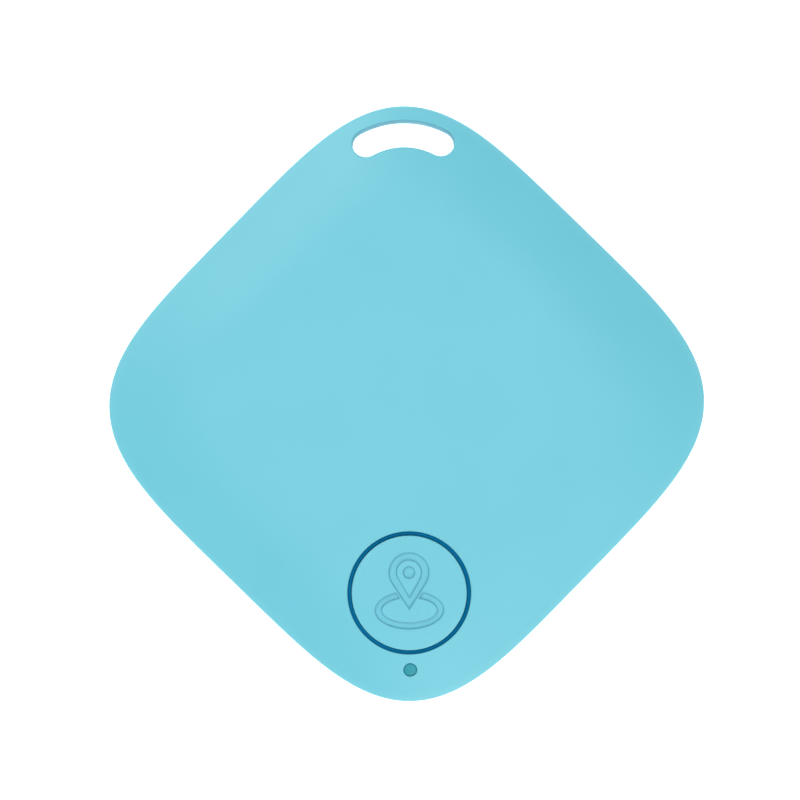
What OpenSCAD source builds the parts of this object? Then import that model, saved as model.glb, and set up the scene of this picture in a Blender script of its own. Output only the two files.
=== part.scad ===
// Wireless tracker tag, carried on a keyring through a curved slot in one of its corners.
// Two shells hold a coin cell, a circuit board, a buzzer disc and one push button.
// The back lies on z = 0, +Z points out through the button and +Y points to the slot.
// Every length is in millimetres.

/* [Case] */
// Distance across the flats of the outline
case_flats = 40; // [40:0.5:50]
// Power of the superellipse that the outline follows
outline_power = 4.13; // [3.9:0.01:4.5]
// Height of the upright band round the edge
rim_height = 3.6; // [3.5:0.1:4.2]
// How far in from the flats the dome reaches its full height
dome_inset = 7.6; // [7:0.1:7.6]
// Radius of the rounded edge between the band and the dome
edge_radius = 0.35; // [0.2:0.05:0.5]
// Thickness of the front face
front_wall = 1.0; // [0.9:0.05:1.1]
// Thickness of the back face
rear_wall = 1.0; // [0.9:0.05:1.3]
// Thickness of the side wall
side_wall = 1.1; // [1:0.05:1.3]
// Seam between the two shells
seam = 0.04; // [0.02:0.01:0.1]

/* [Closure] */
// How far the tongue of the rear cover reaches into the front shell
tongue_height = 1.05; // [0.8:0.05:1.15]
// Thickness of the tongue
tongue_thick = 0.9; // [0.7:0.05:1]
// Half length of each straight stretch of tongue
tongue_half_length = 9; // [8:0.5:10]
// Gap between the tongue and the wall that it slides into
tongue_gap = 0.1; // [0.08:0.01:0.15]
// Radius of the crush ribs on the tongue
crush_rib_radius = 0.35; // [0.25:0.05:0.4]
// How far the crush ribs stand out of the tongue
crush_rib_proud = 0.06; // [0.03:0.01:0.07]
// Distance between crush ribs on one stretch of tongue
crush_rib_pitch = 6; // [4:0.5:6.5]
// Radius of the coin notch in the seam
notch_radius = 5; // [4:0.5:8]
// Depth of the coin notch
notch_depth = 0.7; // [0.4:0.05:0.8]
// Height of the coin notch
notch_height = 0.9; // [0.6:0.05:1.1]

/* [Keyring slot] */
// Radius of the arc down the middle of the slot
slot_radius = 6.26; // [5:0.05:7.6]
// Width of the slot
slot_width = 2.24; // [1.8:0.02:2.8]
// Angle from the middle of the slot to the centre of each round end
slot_half_angle = 28.5; // [22:0.5:34]
// Material left between the slot and the corner of the case
slot_land = 1.15; // [1:0.05:1.6]
// Wall round the slot inside the case
slot_wall = 1.0; // [0.8:0.05:1.2]

/* [Button] */
// Diameter of the button cap
button_diameter = 9.2; // [7.7:0.1:9.3]
// Distance from the bottom corner of the case to the centre of the button
button_from_tip = 8.8; // [8.7:0.05:9.6]
// Radial width of the rubber seal round the cap
seal_width = 0.3; // [0.25:0.01:0.36]
// Running gap between the cap and its seal
button_gap = 0.03; // [0.02:0.01:0.06]
// How far the seal sits below the surface
seal_recess = 0.15; // [0.1:0.01:0.25]
// How far the flange of the cap reaches past its side
flange_reach = 0.6; // [0.5:0.05:0.65]
// Thickness of the flange
flange_thick = 0.35; // [0.3:0.05:0.4]
// Height of the flange above the circuit board
flange_clear = 0.4; // [0.38:0.01:0.45]
// Depth of the engraved pictogram
icon_depth = 0.15; // [0.1:0.01:0.2]

/* [Pictogram] */
// Outer radius of the head of the map pin
pin_radius = 1.56; // [1.3:0.02:1.7]
// Distance from the centre of the head to the point of the pin
pin_length = 2.88; // [2.6:0.02:3.1]
// Radius inside the line of the head
pin_inner_radius = 1.02; // [0.8:0.02:1.1]
// Distance from the centre of the head to the inner point
pin_inner_length = 2.03; // [1.8:0.02:2.2]
// Radius of the dot in the head
pin_dot_radius = 0.44; // [0.3:0.02:0.5]
// Height of the head's centre above the centre of the button
pin_rise = 1.65; // [1.5:0.05:1.75]
// Half width of the oval under the pin
oval_half_width = 2.71; // [2.4:0.05:2.8]
// Half height of the oval
oval_half_height = 1.49; // [1.3:0.05:1.5]
// Width of the oval's line at its sides
oval_line = 0.45; // [0.35:0.05:0.55]
// Depth of the oval's centre below the centre of the button
oval_drop = 1.36; // [1.2:0.02:1.4]
// Gap between the pin and the ends of the oval's line
oval_gap = 0.25; // [0.2:0.05:0.35]

/* [Light] */
// Diameter of the light pipe
pipe_diameter = 1.08; // [0.9:0.02:1.2]
// Distance from the bottom corner of the case to the light pipe
pipe_from_tip = 2.6; // [2.55:0.05:2.7]
// Diameter of the collar on the light pipe
pipe_collar_diameter = 1.9; // [1.6:0.05:1.9]

/* [Coin cell] */
// Diameter of the cell
cell_diameter = 20; // [16:0.1:24]
// Height of the cell
cell_height = 3.2; // [2.5:0.1:4]
// Height of the cell's centre above the centre of the case
cell_y = 2; // [1:0.1:2.5]
// Thickness of the foam pad under the cell
pad_thick = 0.3; // [0.2:0.05:0.5]
// Gap between the foam pad and the cell
pad_gap = 0.05; // [0.03:0.01:0.1]
// Gap between the cell and the circuit board, for the spring contact
contact_gap = 0.4; // [0.35:0.05:0.6]
// Gap between the cell and its holder
holder_gap = 0.25; // [0.2:0.05:0.3]
// Wall of the cell holder
holder_wall = 0.8; // [0.7:0.05:1]
// Thickness of the contact sheet
contact_thick = 0.2; // [0.15:0.01:0.2]

/* [Circuit board] */
// Thickness of the board
board_thick = 0.8; // [0.6:0.1:1]
// How far in from the outline of the case the board stops
board_margin = 3.2; // [3.15:0.05:3.3]
// Height above the board for its components
headroom = 1.25; // [1.25:0.01:1.5]
// Distance of each locating peg from both centre lines of the case
peg_place = 9.2; // [8.8:0.1:9.6]
// Radius of the locating pegs
peg_radius = 0.7; // [0.5:0.05:0.8]
// Radius of the screw thread
screw_radius = 0.7; // [0.6:0.05:0.8]
// Radius of the screw head
screw_head_radius = 1.25; // [1.1:0.05:1.4]
// Height of the screw head
screw_head_height = 0.6; // [0.5:0.05:0.7]
// Radius of the bosses that the screws go into
boss_radius = 1.7; // [1.5:0.05:1.9]

/* [Buzzer] */
// Diameter of the brass plate
buzzer_diameter = 15; // [12:0.5:16]
// Diameter of the ceramic disc
ceramic_diameter = 11; // [9:0.5:11.5]
// Height of the buzzer's centre above the centre of the case
buzzer_y = 5.2; // [5:0.1:6]
// Thickness of each of the buzzer's two discs
buzzer_sheet = 0.12; // [0.1:0.01:0.14]
// Thickness of the adhesive ring
tape_thick = 0.1; // [0.08:0.01:0.12]
// Radius of the two wires
wire_radius = 0.2; // [0.15:0.01:0.2]

/* [Hidden] */

$fn = 64;
past = 1;                 // how far a cut runs past the face that it opens
case_blue = "#7ed1e3";
steel = "#c4c7ca";

// The stack through the middle of the case, from the back to the front
half = case_flats/2;
cell_z = rear_wall + pad_thick + pad_gap;
board_z = cell_z + cell_height + contact_gap;
board_top = board_z + board_thick;
ceiling_z = board_top + headroom;
case_thick = ceiling_z + front_wall;
parting_z = case_thick/2;
dome_rise = (case_thick - rim_height)/2;
rim_high = case_thick - dome_rise;

// Corner of the outline, and what is placed from it
corner = half*pow(2, 0.5 - 1/outline_power);
slot_y = corner - slot_land - slot_width/2 - slot_radius;
slot_tube_width = slot_width + 2*slot_wall;
slot_tube_low = slot_y + slot_radius*cos(slot_half_angle) - slot_tube_width/2;
button_y = button_from_tip - corner;
pipe_y = pipe_from_tip - corner;

// Button, switch and the bore between them
cap_radius = button_diameter/2;
seal_inner = cap_radius + button_gap;
bore_radius = seal_inner + seal_width;
flange_radius = cap_radius + flange_reach;
flange_z = board_top + flange_clear;
flange_top = flange_z + flange_thick;
stop_z = flange_top + button_gap;
pocket_radius = flange_radius + 0.15;
collar_radius = pocket_radius + 0.7;
switch_size = 3.8;
switch_height = 0.6;
switch_cover_thick = 0.15;
switch_gap = 0.3;         // between the corners of the switch and the hollow of the cap
plunger_radius = 1.0;
plunger_low = board_top + 0.47;
plunger_top = board_top + 1.05;
nib_radius = 1.2;
nib_gap = 0.07;
cap_roof_z = case_thick - 1.0;
cap_recess_radius = switch_size/sqrt(2) + switch_gap;

// Coin cell, its holder and its contacts
cell_radius = cell_diameter/2;
can_wall = 0.25;
holder_inner = cell_radius + holder_gap;
holder_outer = holder_inner + holder_wall;
holder_z = cell_z + 0.65;
holder_peg_radius = 0.5;
holder_peg_circle = (holder_inner + holder_outer)/2;
blade_inner = cell_radius + 0.05;
blade_z = cell_z + 0.85;

// Screws, pegs and the holes for them
screw_x = holder_outer + screw_head_radius + 0.6;
hole_gap = 0.1;
fit = 0.02;
screw_tip_z = ceiling_z + 0.25;
post_radius = 1.2;
post_gap = 0.05;
board_cut_y = slot_tube_low - 0.55;

// Straightening curve of the dome: 0 at the rim, 1 and level from dome_inset on
function rise_at(inset) =
  let (t = min(1, inset/dome_inset)) 1.5*t - 0.5*pow(t, 3);

// Height of the front face at an inset from the outline
function front_at(inset) = rim_high + dome_rise*rise_at(inset);

// Inset from the outline at a point, measured on the outline's own family of curves
function inset_at(x, y) =
  half - pow(pow(abs(x + y)/sqrt(2), outline_power) + pow(abs(x - y)/sqrt(2), outline_power),
             1/outline_power);

// One closed curve of the outline's family, anticlockwise
function outline(inset, count) =
  [for (i = [0:count - 1])
    let (turn = 360*i/count,
         reach = (half - inset)/pow(pow(abs(cos(turn - 45)), outline_power)
                                    + pow(abs(sin(turn - 45)), outline_power), 1/outline_power))
    [reach*cos(turn), reach*sin(turn)]];

// The same curve lifted to a height
function ring(inset, z, count) = [for (q = outline(inset, count)) [q[0], q[1], z]];

// A round ring of points on the front face, lowered by drop
function face_ring(y, radius, drop, count) =
  [for (i = [0:count - 1])
    let (turn = 360*i/count, px = radius*cos(turn), py = y + radius*sin(turn))
    [px, py, front_at(inset_at(px, py)) - drop]];

// [inset, z] of the outside of the front shell, from the seam to the top of the dome
edge_turn = 90 - atan(1.5*dome_rise/dome_inset);
edge_z = front_at(edge_radius*(1 - cos(edge_turn))) - edge_radius*sin(edge_turn);
edge_steps = 3;
dome_steps = 7;
outer_profile = concat(
  [[0, parting_z]],
  [for (i = [0:edge_steps])
    let (turn = edge_turn*i/edge_steps)
    [edge_radius*(1 - cos(turn)), edge_z + edge_radius*sin(turn)]],
  [for (i = [1:dome_steps])
    let (inset = dome_inset*i/dome_steps) [inset, front_at(inset)]]
);

// [inset, z] of the hollow under the front face, for a wall of the given thickness
function inner_profile(wall) = concat(
  [[side_wall, parting_z - past], [side_wall, front_at(side_wall) - wall]],
  [for (i = [1:4])
    let (inset = side_wall + (dome_inset - side_wall)*i/4) [inset, front_at(inset) - wall]]
);

// A closed solid through rings of points, bottom to top, with a fan to a point at each end
module loft(rings, low, high) {
  count = len(rings[0]);
  last = (len(rings) - 1)*count;
  total = last + count;
  points = concat([for (r = rings) each r], [low, high]);
  sides = [for (j = [0:len(rings) - 2], i = [0:count - 1])
    let (a = j*count + i, b = j*count + (i + 1)%count)
    each [[a, a + count, b + count], [a, b + count, b]]];
  bottom = [for (i = [0:count - 1]) [i, (i + 1)%count, total]];
  top = [for (i = [0:count - 1]) [last + (i + 1)%count, last + i, total + 1]];
  polyhedron(points, concat(sides, bottom, top), convexity = 4);
}

// A body of the outline's family that follows a list of [inset, z]
module shell_body(profile, count) {
  last = len(profile) - 1;
  loft([for (q = profile) ring(q[0], q[1], count)], [0, 0, profile[0][1]], [0, 0, profile[last][1]]);
}

// Turns a shape of the front half over into the rear half
module rear_half() {
  translate([0, 0, case_thick]) mirror([0, 0, 1]) children();
}

// Everything below the front face inside a circle on the centre line, lowered by drop
module under_face(y, radius, drop, count) {
  steps = 4;
  floor_ring = [for (q = face_ring(y, radius, drop, count)) [q[0], q[1], parting_z]];
  loft(concat([floor_ring],
              [for (i = [steps:-1:1]) face_ring(y, radius*i/steps, drop, count)]),
       [0, y, parting_z], [0, y, front_at(inset_at(0, y)) - drop]);
}

// Bar along the slot's arc with round ends
module slot_bar(width, low, high) {
  translate([0, slot_y, low]) {
    rotate(90 - slot_half_angle)
      rotate_extrude(angle = 2*slot_half_angle)
        translate([slot_radius - width/2, 0]) square([width, high - low]);
    for (side = [-1, 1])
      rotate(90 + side*slot_half_angle)
        translate([slot_radius, 0, 0]) cylinder(d = width, h = high - low);
  }
}

// Round rod on the centre line of the case
module rod(y, radius, low, high) {
  translate([0, y, low]) cylinder(r = radius, h = high - low);
}

module at_screws() {
  for (side = [-1, 1]) translate([side*screw_x, cell_y, 0]) children();
}

module at_pegs() {
  for (side = [-1, 1]) translate([side*peg_place, -peg_place, 0]) children();
}

module at_holder_pegs() {
  for (turn = [45:90:315])
    translate([0, cell_y, 0]) rotate(turn) translate([holder_peg_circle, 0, 0]) children();
}

// ---- Rear cover ----

// Four straight stretches of tongue, with the foot that joins them to the floor
module tongue() {
  outer = side_wall + tongue_gap;
  inner = outer + tongue_thick;
  foot_z = case_thick - front_at(inner) + rear_wall - 0.3;
  intersection() {
    difference() {
      union() {
        translate([0, 0, parting_z - past])
          linear_extrude(past + tongue_height) polygon(outline(outer, 72));
        translate([0, 0, foot_z])
          linear_extrude(parting_z - seam/2 - foot_z) polygon(outline(side_wall - 0.3, 72));
      }
      translate([0, 0, foot_z - past])
        linear_extrude(2*past + case_thick) polygon(outline(inner, 72));
    }
    rotate(45) union() {
      cube([2*tongue_half_length, 2*case_flats, 3*case_thick], center = true);
      cube([2*case_flats, 2*tongue_half_length, 3*case_thick], center = true);
    }
  }
}

// Upright ribs that are squeezed as the shells close
module crush_ribs() {
  size = half - side_wall - tongue_gap;
  for (turn = [45:90:315], k = [-1:1]) {
    along = k*crush_rib_pitch;
    out = pow(pow(size, outline_power) - pow(abs(along), outline_power), 1/outline_power);
    rotate(turn)
      translate([out + crush_rib_proud - crush_rib_radius, along, parting_z + 0.25])
        cylinder(r = crush_rib_radius, h = tongue_height - 0.45);
  }
}

// Arrow head engraved in the back, which points at the coin notch
module opening_arrow() {
  rotate(-45) translate([10.5, 0, -past])
    linear_extrude(past + icon_depth) polygon([[1.6, 0], [-0.8, 1.4], [-0.8, -1.4]]);
}

module rear_cover() {
  color(case_blue) {
    difference() {
      rear_half() shell_body(outer_profile, 96);
      difference() {
        rear_half() shell_body(inner_profile(rear_wall), 72);
        slot_bar(slot_tube_width, 0, case_thick);
        rod(button_y, post_radius, 0, case_thick);
      }
      slot_bar(slot_width, -past, case_thick);
      translate([0, 0, parting_z - seam/2]) linear_extrude(past) square(2*case_flats, center = true);
      rotate(-45) translate([half - notch_depth + notch_radius, 0, parting_z - notch_height])
        cylinder(r = notch_radius, h = notch_height + past);
      opening_arrow();
    }
    rod(button_y, post_radius, parting_z - past, board_z - post_gap);
    tongue();
    crush_ribs();
  }
}

module cell_pad() {
  color("#3c4148") rod(cell_y, cell_radius - 2, rear_wall, rear_wall + pad_thick);
}

// ---- Front shell and what it carries ----

module front_shell() {
  color(case_blue) difference() {
    shell_body(outer_profile, 96);
    difference() {
      shell_body(inner_profile(front_wall), 72);
      slot_bar(slot_tube_width, 0, case_thick);
      rod(button_y, collar_radius, stop_z, case_thick);
      at_screws() translate([0, 0, board_top]) cylinder(r = boss_radius, h = case_thick);
      at_pegs() translate([0, 0, board_z - 0.3]) cylinder(r = peg_radius, h = case_thick);
    }
    slot_bar(slot_width, 0, case_thick + past);
    rod(button_y, bore_radius, 0, case_thick + past);
    rod(button_y, pocket_radius, 0, stop_z);
    rod(pipe_y, pipe_diameter/2, 0, case_thick);
    at_screws() cylinder(r = screw_radius, h = ceiling_z + 0.3);
    translate([0, 0, parting_z + seam/2 - past]) linear_extrude(past) square(2*case_flats, center = true);
  }
}

module button_seal() {
  color("#12699a") difference() {
    intersection() {
      rod(button_y, bore_radius, stop_z, case_thick);
      under_face(button_y, bore_radius + 0.2, seal_recess, 32);
    }
    rod(button_y, seal_inner, 0, case_thick + past);
  }
}

module light_pipe() {
  collar_top = front_at(inset_at(0, pipe_y - pipe_collar_diameter/2)) - front_wall - 0.08;
  color("#3d9fac") intersection() {
    union() {
      rod(pipe_y, pipe_diameter/2 - fit, board_z - 0.5, case_thick);
      rod(pipe_y, pipe_collar_diameter/2, board_z - 0.7, collar_top);
    }
    under_face(pipe_y, pipe_collar_diameter/2 + 0.3, 0.08, 16);
  }
}

module circuit_board() {
  color("#1d6b3f") difference() {
    translate([0, 0, board_z]) linear_extrude(board_thick) polygon(outline(board_margin, 72));
    translate([-half, board_cut_y, 0]) cube([case_flats, half, case_thick]);
    at_screws() cylinder(r = screw_radius + hole_gap, h = case_thick);
    at_pegs() cylinder(r = peg_radius + hole_gap, h = case_thick);
    at_holder_pegs() cylinder(r = holder_peg_radius + fit, h = case_thick);
  }
}

// Two pan head screws from below, through the board and into the bosses
module board_screws() {
  recess_width = 0.3;
  recess_length = 1.3;
  recess_depth = 0.35;
  head_z = board_z - screw_head_height;
  color(steel) at_screws() difference() {
    union() {
      translate([0, 0, head_z]) cylinder(r = screw_head_radius, h = screw_head_height);
      translate([0, 0, board_z]) cylinder(r = screw_radius - fit, h = screw_tip_z - board_z);
    }
    for (turn = [45, 135])
      rotate(turn) translate([0, 0, head_z])
        cube([recess_length, recess_width, 2*recess_depth], center = true);
  }
}

// ---- Under the board ----

// Ring that keeps the cell centred, with a gap for the contact and one for a finger
module cell_holder() {
  contact_half_angle = 18;
  finger_half_angle = 25;
  color("#23272b") translate([0, cell_y, 0]) {
    for (stretch = [[90 + contact_half_angle, 180 - finger_half_angle],
                    [180 + finger_half_angle, 450 - contact_half_angle]])
      rotate(stretch[0])
        rotate_extrude(angle = stretch[1] - stretch[0])
          translate([holder_inner, holder_z]) square([holder_wall, board_z - holder_z]);
  }
  color("#23272b") at_holder_pegs()
    translate([0, 0, board_z - 0.5]) cylinder(r = holder_peg_radius, h = 0.5 + board_thick);
}

// Blade against the side of the can, with a foot soldered to the board
module positive_contact() {
  blade_half_angle = 15;
  foot_half_angle = 9;
  foot_reach = 2.15;
  color("#c9b458") translate([0, cell_y, 0]) {
    rotate(90 - blade_half_angle) rotate_extrude(angle = 2*blade_half_angle)
      translate([blade_inner, blade_z]) square([contact_thick, board_z - blade_z]);
    rotate(90 - foot_half_angle) rotate_extrude(angle = 2*foot_half_angle)
      translate([blade_inner, board_z - contact_thick]) square([foot_reach, contact_thick]);
  }
}

// Three spring fingers from a disc under the board, down to just above the cell's cap
module negative_contact() {
  sheet = 0.15;
  hub_radius = 1.8;
  touch = cell_z + cell_height + 0.02;
  color("#c9b458") translate([0, cell_y, 0]) {
    translate([0, 0, board_z - sheet]) cylinder(r = hub_radius, h = sheet);
    for (turn = [30:120:270])
      rotate(turn) rotate([90, 0, 0]) translate([0, 0, -0.7]) linear_extrude(1.4)
        polygon([[1, board_z], [1, board_z - sheet], [5.2, touch], [6, touch + 0.06],
                 [6, touch + 0.06 + sheet], [5.2, touch + sheet], [hub_radius, board_z]]);
  }
}

// Side lamp at the tip of the board, which shines into the collar of the light pipe
module indicator_led() {
  led_width = 1.6;
  led_depth = 0.7;
  led_height = 0.6;
  lens_depth = 0.2;
  led_y = pipe_y + pipe_collar_diameter/2 + 0.7;
  color("#f2efe2") translate([-led_width/2, led_y, board_z - led_height])
    cube([led_width, led_depth, led_height]);
  color("#f6f3d8") translate([-led_width/4, led_y - lens_depth, board_z - 0.5])
    cube([led_width/2, lens_depth + 0.1, 0.4]);
}

// ---- Switch under the button ----

module switch_housing() {
  chamber_radius = 1.5;
  color("#1b1d20") translate([0, button_y, board_top]) difference() {
    translate([-switch_size/2, -switch_size/2, 0]) cube([switch_size, switch_size, switch_height]);
    translate([0, 0, 0.15]) cylinder(r = chamber_radius, h = switch_height);
  }
}

module switch_cover() {
  tab_width = 1.2;
  tab_thick = 0.1;
  tab_height = 0.45;
  color(steel) translate([0, button_y, board_top + switch_height]) {
    difference() {
      translate([-switch_size/2, -switch_size/2, 0])
        cube([switch_size, switch_size, switch_cover_thick]);
      translate([0, 0, -past]) cylinder(r = plunger_radius + 0.08, h = 3*past);
    }
    for (side = [-1, 1])
      translate([side*(switch_size + tab_thick)/2, 0, (switch_cover_thick - tab_height)/2])
        cube([tab_thick, tab_width, tab_height + switch_cover_thick], center = true);
  }
}

module switch_terminals() {
  lead = [0.5, 0.6, 0.12];
  color(steel) translate([0, button_y, board_top])
    for (i = [-1, 1], j = [-1, 1])
      translate([i*(switch_size + lead[0])/2 - lead[0]/2, j*1.25 - lead[1]/2, 0]) cube(lead);
}

// Domed spring that snaps under the plunger
module switch_dome() {
  color(steel) translate([0, button_y, board_top]) rotate_extrude()
    polygon([[0, 0.45], [0.6, 0.43], [1.1, 0.34], [1.4, 0.2], [1.4, 0.15],
             [1.35, 0.15], [1.05, 0.29], [0.6, 0.38], [0, 0.4]]);
}

module switch_plunger() {
  color("#2b2e33") {
    rod(button_y, plunger_radius, plunger_low, plunger_top);
    rod(button_y, plunger_radius + 0.25, plunger_low, plunger_low + 0.1);
  }
}

// Flat bottomed point outline: a circle drawn out to a point below it
function pin_points(radius, length) =
  let (open = acos(radius/length), steps = 28)
  concat([[0, -length]],
         [for (i = [0:steps])
           let (turn = -90 + open + (360 - 2*open)*i/steps) radius*[cos(turn), sin(turn)]]);

function oval_points(width, height) =
  [for (i = [0:47]) [width*cos(i*7.5), height*sin(i*7.5)]];

// Upright walls of the pictogram: a map pin that stands on an oval
module pictogram(low, high) {
  tall = high - low;
  translate([0, pin_rise, low]) {
    difference() {
      linear_extrude(tall) polygon(pin_points(pin_radius, pin_length));
      translate([0, 0, -past])
        linear_extrude(tall + 2*past) polygon(pin_points(pin_inner_radius, pin_inner_length));
    }
    cylinder(r = pin_dot_radius, h = tall);
  }
  difference() {
    translate([0, -oval_drop, low])
      linear_extrude(tall) polygon(oval_points(oval_half_width, oval_half_height));
    translate([0, -oval_drop, low - past])
      linear_extrude(tall + 2*past)
        polygon(oval_points(oval_half_width - oval_line, oval_half_height - oval_line));
    translate([0, pin_rise, low - past]) linear_extrude(tall + 2*past)
      polygon(pin_points(pin_radius + oval_gap, pin_length*(pin_radius + oval_gap)/pin_radius));
  }
}

module button_cap() {
  color(case_blue) {
    difference() {
      intersection() {
        union() {
          rod(button_y, cap_radius, flange_z, case_thick);
          rod(button_y, flange_radius, flange_z, flange_top);
        }
        under_face(button_y, flange_radius + 0.2, 0, 48);
      }
      rod(button_y, cap_recess_radius, 0, cap_roof_z);
      difference() {
        translate([0, button_y, 0]) pictogram(cap_roof_z, case_thick + past);
        under_face(button_y, cap_radius, icon_depth, 48);
      }
    }
    rod(button_y, nib_radius, plunger_top + nib_gap, cap_roof_z + 0.1);
  }
}

// ---- Components on top of the board ----

// Block that stands on the board, centred on a place
module component(place, size, lift = 0) {
  translate([place[0] - size[0]/2, place[1] - size[1]/2, board_top + lift]) cube(size);
}

radio_chip_place = [-4.5, -6];
radio_chip_size = [5, 5, 0.8];

module radio_chip() {
  color("#202225") component(radio_chip_place, radio_chip_size);
}

module main_crystal() {
  color("#b9bcc0") {
    component([-9.6, -3.4], [2.5, 2, 0.35]);
    component([-9.6, -3.4], [2.2, 1.7, 0.3], 0.3);
  }
}

module watch_crystal() {
  color("#c8b27a") {
    component([-6.2, -10.6], [3.2, 1.5, 0.5]);
    component([-6.2, -10.6], [2.9, 1.2, 0.3], 0.4);
  }
}

module chip_antenna() {
  color("#dfe3e0") component([15.4, -3.2], [2, 5, 0.6]);
}

// Drum of wire between two square plates
module buzzer_coil() {
  place = [5, -6];
  color("#2e3033") {
    component(place, [3, 3, 0.2]);
    component(place, [3, 3, 0.2], 0.8);
  }
  color("#a8622d") translate([place[0], place[1], board_top + 0.1]) cylinder(r = 1.25, h = 0.8);
}

module driver_transistor() {
  place = [9.9, -5];
  lead = [0.4, 0.6, 0.15];
  color("#202225") component(place, [2.9, 1.3, 0.85], 0.1);
  color(steel) {
    for (side = [-1, 1]) component(place + [side*0.95, -0.85], lead);
    component(place + [0, 0.85], lead);
    for (side = [-1, 1]) component(place + [side*0.95, -0.6], [0.4, 0.15, 0.3]);
    component(place + [0, 0.6], [0.4, 0.15, 0.3]);
  }
}

// Two terminal chips in a row, set out by their pitch
module chip_row(start, step, count, size) {
  for (i = [0:count - 1]) component(start + i*step, size);
}

module chip_capacitors() {
  chip = [0.5, 1, 0.5];
  color("#b89a6a") {
    chip_row([-6.3, -2.5], [1.2, 0], 4, chip);
    chip_row([-0.9, -4.2], [0, -1.7], 3, chip);
    chip_row([13.6, -2.2], [0, -1.7], 2, chip);
  }
}

module chip_resistors() {
  chip = [0.5, 1, 0.35];
  color("#26292c") {
    chip_row([6.4, -8.9], [1, 0], 2, chip);
    chip_row([1.5, -6.2], [0, -1.7], 2, chip);
    chip_row([-12.4, -3.4], [0, -1.7], 2, chip);
  }
}

// ---- Buzzer under the front face ----

module buzzer_tape() {
  color("#e9e4d2") difference() {
    rod(buzzer_y, buzzer_diameter/2, ceiling_z - tape_thick, ceiling_z);
    rod(buzzer_y, ceramic_diameter/2, 0, case_thick);
  }
}

plate_z = ceiling_z - tape_thick - buzzer_sheet;
ceramic_z = plate_z - buzzer_sheet;

module buzzer_plate() {
  color("#c9a24a") rod(buzzer_y, buzzer_diameter/2, plate_z, ceiling_z - tape_thick);
}

module buzzer_ceramic() {
  color("#d8d6cf") rod(buzzer_y, ceramic_diameter/2, ceramic_z, plate_z);
}

// Wire from a solder joint under the buzzer, over the board and down onto its pad
module buzzer_wire(place, joint_z) {
  bend = 0.45;
  joint_radius = 0.35;
  pad_y = -3.85;
  run_z = ceramic_z - wire_radius - 0.04;
  run = place[1] - pad_y - bend;
  translate([place[0], place[1], run_z - wire_radius])
    cylinder(r = joint_radius, h = joint_z - run_z + wire_radius);
  translate([place[0], place[1], run_z]) rotate([90, 0, 0]) cylinder(r = wire_radius, h = run);
  translate([place[0], pad_y + bend, run_z - bend]) rotate([0, -90, 180])
    rotate_extrude(angle = 90) translate([bend, 0]) circle(r = wire_radius);
  translate([place[0], pad_y, board_top]) cylinder(r = wire_radius, h = run_z - bend - board_top);
}

module buzzer_wire_red() {
  color("#b3282d") buzzer_wire([2.4, buzzer_y - 3.6], ceramic_z);
}

module buzzer_wire_black() {
  color("#1c1c1e") buzzer_wire([4.2, buzzer_y - 5], plate_z);
}

// ---- Coin cell ----

// Turns a profile of [distance in from the cell's side, height above its bottom] about its axis
module cell_ring(profile) {
  translate([0, cell_y, cell_z]) rotate_extrude()
    polygon([for (q = profile) [max(0, cell_radius - q[0]), q[1]]]);
}

lip_z = cell_height - 0.15;       // top of the crimped edge of the can
shoulder_z = cell_height - 0.6;   // step in the side of the cap
cathode_z = cell_height - 1.05;   // top of the cathode

module cell_can() {
  plus_size = 2.4;
  plus_line = 0.45;
  plus_depth = 0.08;
  color(steel) difference() {
    cell_ring([[cell_radius, 0], [0.3, 0], [0, 0.3], [0, lip_z - 0.35], [0.4, lip_z], [0.75, lip_z],
               [0.75, lip_z - can_wall], [0.45, lip_z - can_wall], [can_wall, lip_z - 0.5],
               [can_wall, can_wall], [cell_radius, can_wall]]);
    for (turn = [0, 90])
      translate([0, cell_y, cell_z]) rotate(turn)
        cube([plus_size, plus_line, 2*plus_depth], center = true);
  }
}

module cell_gasket() {
  color("#3b3f45") cell_ring([[0.75, lip_z], [1.05, lip_z], [1.05, shoulder_z], [0.8, shoulder_z],
    [0.55, shoulder_z - 0.2], [0.55, 0.35], [can_wall, 0.35], [can_wall, lip_z - 0.5],
    [0.45, lip_z - can_wall], [0.75, lip_z - can_wall]]);
}

module cell_cap() {
  color(steel) cell_ring([[cell_radius, cell_height], [1.35, cell_height], [1.05, cell_height - 0.3],
    [1.05, shoulder_z], [0.8, shoulder_z], [0.55, shoulder_z - 0.2], [0.55, 0.9], [0.8, 0.9],
    [0.8, shoulder_z - 0.3], [1.3, shoulder_z - 0.2], [1.3, cell_height - 0.4],
    [1.5, cell_height - can_wall], [cell_radius, cell_height - can_wall]]);
}

module cell_cathode() {
  color("#2a2a2c") rod(cell_y, cell_radius - 0.9, cell_z + can_wall, cell_z + cathode_z);
}

module cell_separator() {
  color("#f0f0ec") rod(cell_y, cell_radius - 0.9, cell_z + cathode_z, cell_z + cathode_z + 0.15);
}

module cell_anode() {
  color("#a9adb2")
    rod(cell_y, cell_radius - 1.6, cell_z + cathode_z + 0.15, cell_z + cell_height - can_wall);
}

rear_cover();
cell_pad();
front_shell();
button_seal();
light_pipe();
circuit_board();
board_screws();
cell_holder();
positive_contact();
negative_contact();
indicator_led();
switch_housing();
switch_cover();
switch_terminals();
switch_dome();
radio_chip();
main_crystal();
watch_crystal();
chip_antenna();
buzzer_coil();
driver_transistor();
chip_capacitors();
chip_resistors();
buzzer_tape();
buzzer_plate();
buzzer_ceramic();
buzzer_wire_red();
buzzer_wire_black();
button_cap();
switch_plunger();
cell_can();
cell_gasket();
cell_cap();
cell_cathode();
cell_separator();
cell_anode();
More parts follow.
